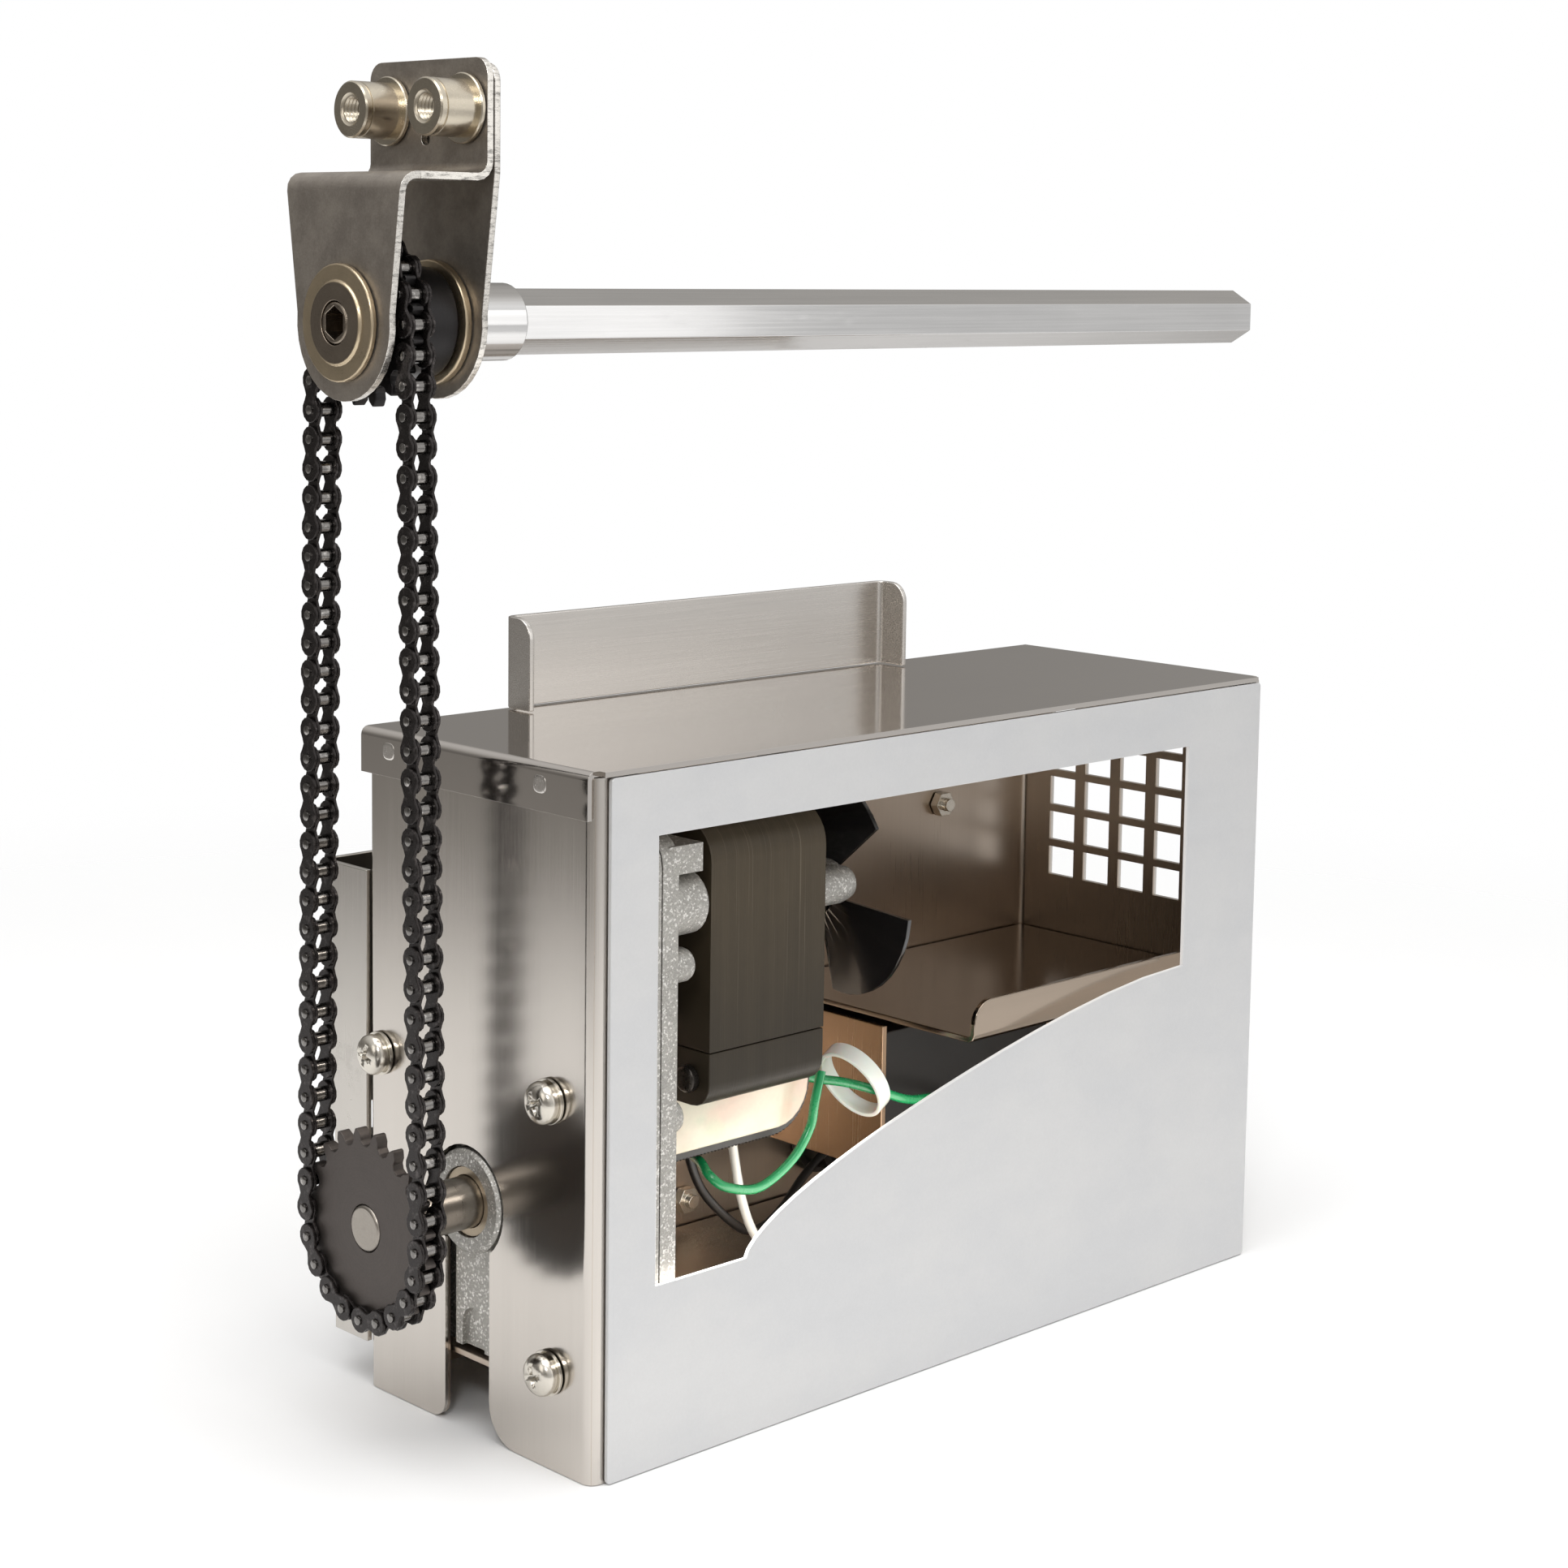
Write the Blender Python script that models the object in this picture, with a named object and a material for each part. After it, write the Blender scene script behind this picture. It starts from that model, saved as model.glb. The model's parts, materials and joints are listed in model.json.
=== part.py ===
"""Garage door opener: a chain-drive gearmotor in a sheet steel box, with its hex drive shaft.

A small motor and gearbox sit in the box. The gearbox turns a chain sprocket outside the left wall,
and the chain turns a hex shaft that hangs in a bracket above the box.
Lengths are metres. X runs along the shafts, Y from the front to the back, Z up.
"""

import math

import bmesh
import bpy
from mathutils import Matrix, Vector

MM = 0.001

# ---- driving sizes -------------------------------------------------------------------------------
BOX_WIDTH = 229 * MM
BOX_DEPTH = 81 * MM
BOX_HEIGHT = 157 * MM
SHEET = 1.5 * MM
LID_SHEET = 1.2 * MM
BEND_RADIUS = 3 * MM
GAP = 0.3 * MM
RUNNING = 0.1 * MM

FRONT_RETURN = 12 * MM
LID_LIP = 10.5 * MM
FLOOR_RISE = 15.5 * MM
FOOT_ROUND = 9 * MM

HANGER_LEFT = 40 * MM
HANGER_WIDTH = 129 * MM
HANGER_HEIGHT = 22 * MM
HANGER_FLANGE = 10 * MM
HANGER_ROUND = 5 * MM

CHANNEL_WIDTH = 60 * MM
CHANNEL_DEPTH = 18.3 * MM
CHANNEL_BOTTOM = 10 * MM
CHANNEL_TOP = 123 * MM
CHANNEL_NOTCH_TOP = 62 * MM
CHANNEL_NOTCH_DEPTH = 5.5 * MM

KEYHOLE_RADIUS = 13 * MM
KEYHOLE_SLOT = 16 * MM

VENT_ROWS = 5
VENT_COLUMNS = 5
VENT_HOLE_DEPTH = 9 * MM
VENT_HOLE_HEIGHT = 8 * MM
VENT_PITCH_DEPTH = 12.5 * MM
VENT_PITCH_HEIGHT = 10 * MM
VENT_FIRST_Y = 15 * MM
VENT_BELOW_TOP = 60 * MM

WINDOW_LEFT = 17 * MM
WINDOW_RIGHT_MARGIN = 30 * MM
WINDOW_TOP_MARGIN = 15.5 * MM
WINDOW_BOTTOM = 41.5 * MM
WINDOW_RIGHT_SILL = 84 * MM
SWEEP_BULGE = 2.768
SWEEP_START = 0.2266

SHELF_FROM_STACK = 47 * MM
SHELF_HEIGHT = 75.5 * MM
SHELF_LIP = 9 * MM

# chain drive
PITCH = 6.35 * MM
LOWER_TEETH = 20
UPPER_TEETH = 16
LINKS = 80
ROLLER_RADIUS = 1.65 * MM
PLATE_HEIGHT = 5.9 * MM
CHAIN_INNER_WIDTH = 3.5 * MM
PLATE_PAIR = 1.5 * MM
SPROCKET_THICKNESS = 2.8 * MM
CHAIN_X = -26.6 * MM
DRIVE_Y = 43.3 * MM
OUTPUT_Z = 53.4 * MM

# shafts
OUTPUT_RADIUS = 5.9 * MM
OUTPUT_TIP_RADIUS = 5.2 * MM
STUB_RADIUS = 4.6 * MM
HUB_RADIUS = 12 * MM
COLLAR_RADIUS = 8.5 * MM
COLLAR_END = 9.7 * MM
HEX_FLATS = 12.7 * MM
HEX_END = 270 * MM

# upper bracket
BRACKET_SHEET = 1.6 * MM
BRACKET_WIDTH = 41 * MM
LEG_RADIUS = 16.5 * MM
LEG_HEIGHT = 31.5 * MM
TAB_HEIGHT = 24 * MM
OUTER_LEG_X = -33.2 * MM
INNER_LEG_X = -9.1 * MM
BRACKET_BEND = 2.4 * MM
STANDOFF_SPACING = 26 * MM
STANDOFF_LENGTH = 10.5 * MM
STANDOFF_RADIUS = 4.6 * MM
STANDOFF_ABOVE_LEDGE = 13.5 * MM

# gearbox
CASE_WALL = 2.5 * MM
CASE_LEFT = 4 * MM
CASE_SPLIT = 22 * MM
CASE_RIGHT = 27 * MM
CASE_FRONT = 3.2 * MM
CASE_BACK = 76 * MM
CASE_BOTTOM = 18 * MM
CASE_TOP = 140 * MM
CASE_ROUND = 7 * MM
BOSS_RADIUS = 12 * MM
MOTOR_Y = 40.5 * MM
MOTOR_Z = 111 * MM
GEAR_TEETH = 50
PINION_TEETH = 10
MODULE_FAST = 0.6 * MM
MODULE_MIDDLE = 0.7 * MM
MODULE_SLOW = 0.9 * MM
FIRST_MESH_ANGLE = math.radians(228)

# motor
STACK_FROM_CASE = 14 * MM
STACK_WIDTH = 36 * MM
STACK_FRONT = 8 * MM
STACK_DEPTH = 65 * MM
STACK_TOP = 139.5 * MM
LEG_DEPTH = 12 * MM
LIMB_BOTTOM = 74 * MM
LIMB_TOP = 87 * MM
ROTOR_RADIUS = 10.4 * MM
ROTOR_AIR_GAP = 0.6 * MM
MOTOR_SHAFT_RADIUS = 2.5 * MM
COIL_BUILD = 9 * MM
COIL_BELOW = 14 * MM
COIL_ABOVE = 7 * MM
COIL_END_SPACE = 1.5 * MM
WRAP = 2.2 * MM
FAN_FROM_STACK = 28 * MM
FAN_RADIUS = 36.5 * MM
FAN_BLADES = 3
FAN_LEADING_EDGE = 182.3
FAN_BLADE_SWEEP = 76
FAN_BLADE_TRIM = 0.3
FAN_BLADE_PITCH = 7 * MM

SCREW_HEAD_RADIUS = 4.75 * MM
SCREW_SHANK_RADIUS = 2.4 * MM
WASHER_RADIUS = 5.1 * MM
WASHER_THICKNESS = 1.4 * MM
WIRE_RADIUS = 1.15 * MM

# small parts
INLET_FROM_STACK = 68 * MM
INLET_HEIGHT = 30 * MM
INLET_RADIUS = 6.5 * MM
NUT_FROM_RIGHT = 37 * MM
NUT_BELOW_TOP = 41 * MM
NUT_FROM_STACK = 21 * MM
NUT_ABOVE_FLOOR = 24 * MM
CONTROL_FROM_STACK = 45 * MM
CONTROL_Y = 32 * MM
CONTROL_WIDTH = 62 * MM
CONTROL_FLOOR = 46 * MM
TIE_FROM_STACK = 27 * MM
TIE_FROM_FRONT = 24 * MM
TIE_HEIGHT = 66 * MM
TIE_MAJOR = (0.419, -0.525, -0.741)
TIE_ACROSS = (-0.091, -0.834, 0.540)
TIE_LONG = 9.8 * MM
TIE_SHORT = 7.6 * MM
TIE_THICKNESS = 1.1 * MM
TIE_WIDTH = 4.6 * MM
AXLE_RADIUS = 1.3 * MM
PINION_TIP = 1.0 * MM
BUSHING_WALL = 2.1 * MM
SLEEVE_RADIUS = 7.5 * MM
STUB_SOCKET_RADIUS = 3.6 * MM
STUB_SOCKET_DEPTH = 6 * MM
LEDGE_GAP = 0.35 * MM
GEAR_PLANE_GAP = 0.6 * MM
FIRST_PLANE_GAP = 0.8 * MM
SLOW_GEAR_WIDTH = 4 * MM
MIDDLE_GEAR_WIDTH = 3.6 * MM
FAST_GEAR_WIDTH = 3.2 * MM
BOLT_RADIUS = 2 * MM
STACK_WINDOW_SPACE = 1 * MM

# ---- sizes that follow ---------------------------------------------------------------------------
LOWER_PITCH_RADIUS = PITCH / (2 * math.sin(math.pi / LOWER_TEETH))
UPPER_PITCH_RADIUS = PITCH / (2 * math.sin(math.pi / UPPER_TEETH))
CORNER_GAP = 2.5 * GAP
SCREW_HOLE_RADIUS = SCREW_SHANK_RADIUS + GAP
FLOOR_TOP = FLOOR_RISE + SHEET
SHELF_TOP = SHELF_HEIGHT + SHEET
STACK_LEFT = CASE_RIGHT + STACK_FROM_CASE
STACK_RIGHT = STACK_LEFT + STACK_WIDTH
FAN_X = STACK_RIGHT + FAN_FROM_STACK
SHELF_LEFT = STACK_RIGHT + SHELF_FROM_STACK
CONTROL_X = STACK_RIGHT + CONTROL_FROM_STACK
INLET = (STACK_RIGHT + INLET_FROM_STACK, INLET_HEIGHT)
TIE_CENTRE = (STACK_RIGHT + TIE_FROM_STACK, TIE_FROM_FRONT, TIE_HEIGHT)
NUTS = {
    "stud_nut_upper": (BOX_WIDTH - NUT_FROM_RIGHT, BOX_HEIGHT - NUT_BELOW_TOP),
    "stud_nut_lower": (STACK_RIGHT + NUT_FROM_STACK, NUT_ABOVE_FLOOR),
}
STACK_BACK = STACK_FRONT + STACK_DEPTH
ROTOR_BORE = ROTOR_RADIUS + ROTOR_AIR_GAP
MOTOR_BORE = MOTOR_SHAFT_RADIUS + RUNNING
OUTPUT_BORE = OUTPUT_RADIUS + RUNNING
FIRST_CENTRES = MODULE_FAST * (GEAR_TEETH + PINION_TEETH) / 2
SECOND_CENTRES = MODULE_MIDDLE * (GEAR_TEETH + PINION_TEETH) / 2
THIRD_CENTRES = MODULE_SLOW * (GEAR_TEETH + PINION_TEETH) / 2
CLUSTER_BORE = AXLE_RADIUS + RUNNING
BUSHING_RADIUS = OUTPUT_RADIUS + BUSHING_WALL
SLOW_START = CASE_LEFT + CASE_WALL + FIRST_PLANE_GAP
PLANE_SLOW = (SLOW_START, SLOW_START + SLOW_GEAR_WIDTH)
PLANE_MIDDLE = (PLANE_SLOW[1] + GEAR_PLANE_GAP, PLANE_SLOW[1] + GEAR_PLANE_GAP + MIDDLE_GEAR_WIDTH)
PLANE_FAST = (PLANE_MIDDLE[1] + GEAR_PLANE_GAP, PLANE_MIDDLE[1] + GEAR_PLANE_GAP + FAST_GEAR_WIDTH)
COIL_TOP = LIMB_TOP + COIL_ABOVE
COIL_BOTTOM = LIMB_BOTTOM - COIL_BELOW
STACK_WINDOW_TOP = COIL_TOP + WRAP + GAP + STACK_WINDOW_SPACE
STUB_BORE = STUB_RADIUS + RUNNING
BRACKET_FRONT = DRIVE_Y - BRACKET_WIDTH / 2
BRACKET_BACK = DRIVE_Y + BRACKET_WIDTH / 2


# ---- scene ---------------------------------------------------------------------------------------
for old in list(bpy.data.objects):
    bpy.data.objects.remove(old, do_unlink=True)

FRAME = bpy.data.objects.new("opener_frame", None)
FRAME.location = (
    -(HANGER_LEFT + HANGER_WIDTH / 2),
    -BOX_DEPTH,
    -(BOX_HEIGHT + GAP + HANGER_HEIGHT / 2),
)
bpy.context.scene.collection.objects.link(FRAME)


# colour, roughness and metallic value of each finish
STAINLESS = ((0.62, 0.58, 0.54), 0.28, 1)
PALE_STEEL = ((0.78, 0.79, 0.81), 0.35, 0.6)
DARK_STEEL = ((0.36, 0.33, 0.30), 0.4, 1)
BLACK_STEEL = ((0.07, 0.06, 0.06), 0.4, 0.8)
BRIGHT_STEEL = ((0.75, 0.75, 0.74), 0.2, 1)
SCREW_STEEL = ((0.70, 0.68, 0.64), 0.25, 1)
CASTING = ((0.52, 0.50, 0.46), 0.5, 0.9)
LAMINATION = ((0.12, 0.11, 0.09), 0.5, 0.4)
BRONZE = ((0.48, 0.38, 0.26), 0.4, 0.9)
GEAR_STEEL = ((0.45, 0.44, 0.42), 0.35, 1)
COIL_TAPE = ((0.80, 0.74, 0.62), 0.5, 0)
BLACK_PLASTIC = ((0.03, 0.03, 0.03), 0.45, 0)
NYLON = ((0.80, 0.80, 0.74), 0.35, 0)
GREEN_WIRE = ((0.03, 0.42, 0.14), 0.35, 0)
WHITE_WIRE = ((0.85, 0.84, 0.80), 0.4, 0)


def own_material(name, finish):
    colour, roughness, metallic = finish
    material = bpy.data.materials.new(name)
    material.use_nodes = True
    shader = material.node_tree.nodes["Principled BSDF"]
    shader.inputs["Base Color"].default_value = (*colour, 1)
    shader.inputs["Roughness"].default_value = roughness
    shader.inputs["Metallic"].default_value = metallic
    return material


def place(name, data, finish, at=(0, 0, 0)):
    """Make an object in the opener's frame. `at` is where its own origin goes."""
    thing = bpy.data.objects.new(name, data)
    thing.parent = FRAME
    thing.location = at
    if finish:
        data.materials.append(own_material(name, finish))
    bpy.context.scene.collection.objects.link(thing)
    return thing


def from_bmesh(name, shape, finish, at=(0, 0, 0)):
    bmesh.ops.recalc_face_normals(shape, faces=shape.faces)
    mesh = bpy.data.meshes.new(name)
    shape.to_mesh(mesh)
    shape.free()
    mesh.shade_smooth()
    mesh.set_sharp_from_angle(angle=math.radians(35))
    return place(name, mesh, finish, at)


def combine(target, tool, operation):
    tool.hide_render = True
    tool.display_type = "WIRE"
    modifier = target.modifiers.new(tool.name, "BOOLEAN")
    modifier.operation = operation
    modifier.object = tool
    return target


def cut(target, *tools):
    for tool in tools:
        combine(target, tool, "DIFFERENCE")
    return target


def join(target, *tools):
    for tool in tools:
        combine(target, tool, "UNION")
    return target


# ---- shape helpers -------------------------------------------------------------------------------
AXES = {
    "X": lambda along, u, v: (along, u, v),
    "Y": lambda along, u, v: (u, along, v),
    "Z": lambda along, u, v: (u, v, along),
}


def prism(name, outline, axis, low, high, finish=None, at=(0, 0, 0)):
    """Extrude a closed outline of (u, v) points along an axis, from low to high."""
    shape = bmesh.new()
    to_space = AXES[axis]
    base = [shape.verts.new(to_space(low, u, v)) for u, v in outline]
    top = [shape.verts.new(to_space(high, u, v)) for u, v in outline]
    shape.faces.new(base)
    shape.faces.new(top)
    count = len(outline)
    for i in range(count):
        j = (i + 1) % count
        shape.faces.new((base[i], base[j], top[j], top[i]))
    return from_bmesh(name, shape, finish, at)


def box(name, low, high, finish=None):
    outline = [(low[0], low[1]), (high[0], low[1]), (high[0], high[1]), (low[0], high[1])]
    return prism(name, outline, "Z", low[2], high[2], finish)


def turned(name, profile, at, finish=None, steps=32, bore=None):
    """Turn (x, radius) points round the X axis through `at`. With a bore the piece is a ring."""
    shape = bmesh.new()
    rings = []
    points = list(profile)
    if bore:
        points = points + [(points[-1][0], bore), (points[0][0], bore)]
    for x, radius in points:
        ring = []
        for k in range(steps):
            angle = 2 * math.pi * k / steps
            ring.append(shape.verts.new((x, radius * math.cos(angle), radius * math.sin(angle))))
        rings.append(ring)
    pairs = list(zip(rings, rings[1:]))
    if bore:
        pairs.append((rings[-1], rings[0]))
    else:
        shape.faces.new(rings[0])
        shape.faces.new(rings[-1])
    for first, second in pairs:
        for k in range(steps):
            n = (k + 1) % steps
            shape.faces.new((first[k], first[n], second[n], second[k]))
    return from_bmesh(name, shape, finish, at)


def arc(centre, radius, start, end, steps):
    """Points on an arc, with its angles in degrees."""
    points = []
    for k in range(steps + 1):
        angle = math.radians(start + (end - start) * k / steps)
        points.append((centre[0] + radius * math.cos(angle), centre[1] + radius * math.sin(angle)))
    return points


def rounded(low, high, radii, steps=5):
    """A rectangle with its own radius at each corner: low-low, high-low, high-high, low-high."""
    corners = (
        ((low[0], low[1]), (1, 1), 180),
        ((high[0], low[1]), (-1, 1), 270),
        ((high[0], high[1]), (-1, -1), 0),
        ((low[0], high[1]), (1, -1), 90),
    )
    points = []
    for (corner, inward, start), radius in zip(corners, radii):
        if radius <= 0:
            points.append(corner)
            continue
        centre = (corner[0] + inward[0] * radius, corner[1] + inward[1] * radius)
        points += arc(centre, radius, start, start + 90, steps)
    return points


def corner_cutter(name, corner, inward, radius, axis, low, high):
    """A cutter that rounds one square corner of a plate."""
    over = 2 * MM
    u, v = corner
    du, dv = inward
    centre = (u + du * radius, v + dv * radius)
    outline = [(u - du * over, v - dv * over), (u - du * over, v + dv * radius)]
    steps = 6
    for k in range(steps + 1):
        angle = math.pi / 2 * k / steps
        outline.append((centre[0] - du * radius * math.cos(angle), centre[1] - dv * radius * math.sin(angle)))
    outline.append((u + du * radius, v - dv * over))
    return prism(name, outline, axis, low, high)


def bent_strip(path, thickness, radius, steps=4):
    """Outline of a sheet bent along a path of points, with the sheet on the path's left side.

    `radius` is the outer bend radius. The path is the outer or inner line of the sheet,
    so each bend keeps the sheet's thickness.
    """
    outer = []
    inner = []
    count = len(path)
    for i, point in enumerate(path):
        here = Vector(point)
        if i == 0:
            along = (Vector(path[1]) - here).normalized()
            left = Vector((-along.y, along.x))
            outer.append(here)
            inner.append(here + left * thickness)
            continue
        if i == count - 1:
            along = (here - Vector(path[i - 1])).normalized()
            left = Vector((-along.y, along.x))
            outer.append(here)
            inner.append(here + left * thickness)
            continue
        before = (here - Vector(path[i - 1])).normalized()
        after = (Vector(path[i + 1]) - here).normalized()
        turn = before.x * after.y - before.y * after.x
        side = 1 if turn > 0 else -1
        line_radius = radius if side > 0 else radius - thickness
        angle = abs(math.atan2(turn, before.dot(after)))
        reach = line_radius * math.tan(angle / 2)
        normal = Vector((-before.y, before.x)) * side
        centre = here - before * reach + normal * line_radius
        other_radius = line_radius - side * thickness
        for k in range(steps + 1):
            swing = Matrix.Rotation(side * angle * k / steps, 2)
            spoke = swing @ -normal
            outer.append(centre + spoke * line_radius)
            inner.append(centre + spoke * other_radius)
    return [tuple(p) for p in outer] + [tuple(p) for p in reversed(inner)]


def gear_outline(teeth, module, first_tooth):
    """Slim straight-sided teeth with running backlash. `first_tooth` is a tooth's angle."""
    root = module * teeth / 2 - 1.2 * module
    tip = module * teeth / 2 + 0.85 * module
    step = 2 * math.pi / teeth
    points = []
    for k in range(teeth):
        middle = first_tooth + k * step
        for radius, share in ((root, -0.29), (tip, -0.11), (tip, 0.11), (root, 0.29)):
            angle = middle + share * step
            points.append((radius * math.cos(angle), radius * math.sin(angle)))
    return points


def sprocket_outline(teeth, pitch_radius, first_gap):
    """Chain sprocket teeth: round seats for the rollers, and narrow flat tips."""
    seat = ROLLER_RADIUS + GAP
    tip_radius = 0.5 * PITCH * (0.6 + 1 / math.tan(math.pi / teeth))
    half_tip = 0.35 * MM / tip_radius
    step = 2 * math.pi / teeth
    points = []
    for k in range(teeth):
        gap = first_gap + k * step
        centre = (pitch_radius * math.cos(gap), pitch_radius * math.sin(gap))
        inward = math.degrees(gap) + 180
        points += arc(centre, seat, inward + 95, inward - 95, 5)
        for side in (-1, 1):
            angle = gap + step / 2 + side * half_tip
            points.append((tip_radius * math.cos(angle), tip_radius * math.sin(angle)))
    return points


def wire(name, route, radius, finish, points=24):
    """A wire along a smooth curve. Its route counts X from the stack's right face."""
    knots = [Vector(p) * MM + Vector((STACK_RIGHT, 0, 0)) for p in route]
    knots = [2 * knots[0] - knots[1]] + knots + [2 * knots[-1] - knots[-2]]
    spans = len(knots) - 3
    line = []
    for k in range(points + 1):
        t = spans * k / points
        span = min(int(t), spans - 1)
        t -= span
        a, b, c, d = knots[span:span + 4]
        line.append(0.5 * ((2 * b) + (c - a) * t + (2 * a - 5 * b + 4 * c - d) * t ** 2
                           + (3 * b - a - 3 * c + d) * t ** 3))
    curve = bpy.data.curves.new(name, "CURVE")
    curve.dimensions = "3D"
    curve.bevel_depth = radius
    curve.bevel_resolution = 2
    curve.use_fill_caps = True
    spline = curve.splines.new("POLY")
    spline.points.add(len(line) - 1)
    for point, here in zip(spline.points, line):
        point.co = (*here, 1)
    return place(name, curve, finish)


# ---- chain route ---------------------------------------------------------------------------------
def chain_pitches(distance):
    """Length of the loop, in pitches, for a distance between the sprocket centres."""
    tilt = math.asin((LOWER_PITCH_RADIUS - UPPER_PITCH_RADIUS) / distance)
    strand = math.sqrt(distance ** 2 - (LOWER_PITCH_RADIUS - UPPER_PITCH_RADIUS) ** 2)
    lower = (math.pi + 2 * tilt) * LOWER_TEETH / (2 * math.pi)
    upper = (math.pi - 2 * tilt) * UPPER_TEETH / (2 * math.pi)
    return lower + upper + 2 * strand / PITCH


def centre_distance():
    low = PITCH
    high = LINKS * PITCH
    low += LOWER_PITCH_RADIUS + UPPER_PITCH_RADIUS
    for _ in range(60):
        middle = (low + high) / 2
        if chain_pitches(middle) < LINKS:
            low = middle
        else:
            high = middle
    return (low + high) / 2


DRIVE_CENTRES = centre_distance()
DRIVE_Z = OUTPUT_Z + DRIVE_CENTRES
LOWER_CENTRE = (CHAIN_X, DRIVE_Y, OUTPUT_Z)
UPPER_CENTRE = (CHAIN_X, DRIVE_Y, DRIVE_Z)


def chain_point(count):
    """Where the loop is after `count` pitches from its lowest roller, as (y, z) from the lower centre."""
    tilt = math.asin((LOWER_PITCH_RADIUS - UPPER_PITCH_RADIUS) / DRIVE_CENTRES)
    quarter = (math.pi / 2 + tilt) * LOWER_TEETH / (2 * math.pi)
    cap = (math.pi / 2 - tilt) * UPPER_TEETH / (2 * math.pi)
    side = 1
    if count > LINKS / 2:
        count = LINKS - count
        side = -1
    if count <= quarter:
        angle = -math.pi / 2 + 2 * math.pi * count / LOWER_TEETH
        point = Vector((LOWER_PITCH_RADIUS * math.cos(angle), LOWER_PITCH_RADIUS * math.sin(angle)))
    elif count >= LINKS / 2 - cap:
        angle = math.pi / 2 - 2 * math.pi * (LINKS / 2 - count) / UPPER_TEETH
        point = Vector((UPPER_PITCH_RADIUS * math.cos(angle), UPPER_PITCH_RADIUS * math.sin(angle)))
        point.y += DRIVE_CENTRES
    else:
        start = Vector((math.cos(tilt), math.sin(tilt))) * LOWER_PITCH_RADIUS
        end = Vector((math.cos(tilt), math.sin(tilt))) * UPPER_PITCH_RADIUS
        end.y += DRIVE_CENTRES
        share = (count - quarter) / (LINKS / 2 - cap - quarter)
        point = start.lerp(end, share)
    return Vector((side * point.x, point.y))


# ---- box -----------------------------------------------------------------------------------------
def screw_places():
    """Side wall screws as (y, z)."""
    return {
        "front_upper": (14.2 * MM, 83 * MM),
        "front_lower": (14.2 * MM, 22 * MM),
        "rear": (BOX_DEPTH - 5.5 * MM, 81 * MM),
    }


def make_housing():
    path = [
        (FRONT_RETURN, 0),
        (0, 0),
        (0, BOX_DEPTH),
        (BOX_WIDTH, BOX_DEPTH),
        (BOX_WIDTH, 0),
        (BOX_WIDTH - FRONT_RETURN, 0),
    ]
    outline = bent_strip([(u, v) for u, v in reversed(path)], SHEET, BEND_RADIUS)
    top = BOX_HEIGHT - LID_SHEET - GAP
    housing = prism("housing", outline, "Z", 0, top, STAINLESS)
    through = (-5 * MM, 2.6 * MM)
    slot_low = DRIVE_Y - KEYHOLE_SLOT / 2
    slot_high = DRIVE_Y + KEYHOLE_SLOT / 2
    reach = math.degrees(math.acos(KEYHOLE_SLOT / 2 / KEYHOLE_RADIUS))
    keyhole = [(slot_low, -5 * MM), (slot_high, -5 * MM)]
    keyhole += arc((DRIVE_Y, OUTPUT_Z), KEYHOLE_RADIUS, -reach, 180 + reach, 28)
    cut(housing, prism("cut_keyhole", keyhole, "X", *through))
    for tag, corner, inward, radius in (
        ("slot_front", (slot_low, 0), (-1, 1), FOOT_ROUND),
        ("slot_rear", (slot_high, 0), (1, 1), FOOT_ROUND / 2),
    ):
        cut(housing, corner_cutter("cut_" + tag, corner, inward, radius, "X", *through))
    for row in range(VENT_ROWS):
        for column in range(VENT_COLUMNS):
            y = VENT_FIRST_Y + column * VENT_PITCH_DEPTH
            z = BOX_HEIGHT - VENT_BELOW_TOP + row * VENT_PITCH_HEIGHT
            low = (BOX_WIDTH - 4 * MM, y - VENT_HOLE_DEPTH / 2, z - VENT_HOLE_HEIGHT / 2)
            high = (BOX_WIDTH + 4 * MM, y + VENT_HOLE_DEPTH / 2, z + VENT_HOLE_HEIGHT / 2)
            cut(housing, box("cut_vent_%d_%d" % (row, column), low, high))
    for tag, (y, z) in screw_places().items():
        hole = [(through[0], SCREW_HOLE_RADIUS), (through[1], SCREW_HOLE_RADIUS)]
        cut(housing, turned("cut_hole_" + tag, hole, (0, y, z), steps=16))
    inlet = round_bar("cut_inlet", INLET, INLET_RADIUS + GAP, BOX_DEPTH - 6 * MM, BOX_DEPTH + 6 * MM)
    cut(housing, inlet)
    for tag, (x, z) in NUTS.items():
        stud = round_bar("cut_" + tag, (x, z), 1.8 * MM + GAP, BOX_DEPTH - 6 * MM, BOX_DEPTH + 6 * MM)
        cut(housing, stud)


def round_bar(name, at, radius, low, high, finish=None, steps=20):
    """A round bar along Y through (x, z)."""
    outline = arc(at, radius, 0, 360 - 360 / steps, steps - 1)
    return prism(name, outline, "Y", low, high, finish)




def window_outline():
    """The cut-away: square on top and at the sides, with a sweeping lower edge."""
    left = WINDOW_LEFT
    right = BOX_WIDTH - WINDOW_RIGHT_MARGIN
    top = BOX_HEIGHT - WINDOW_TOP_MARGIN
    span = right - left
    rise = WINDOW_RIGHT_SILL - WINDOW_BOTTOM
    foot = left + 0.15 * span
    points = [(left, WINDOW_BOTTOM), (foot, WINDOW_BOTTOM)]
    steps = 18
    for k in range(1, steps + 1):
        share = (k / steps) ** 1.8
        lift = math.sin(share ** SWEEP_BULGE * math.pi / 2) ** SWEEP_START
        points.append((foot + (right - foot) * share, WINDOW_BOTTOM + rise * lift))
    points += [(right, top), (left, top)]
    return points


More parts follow.
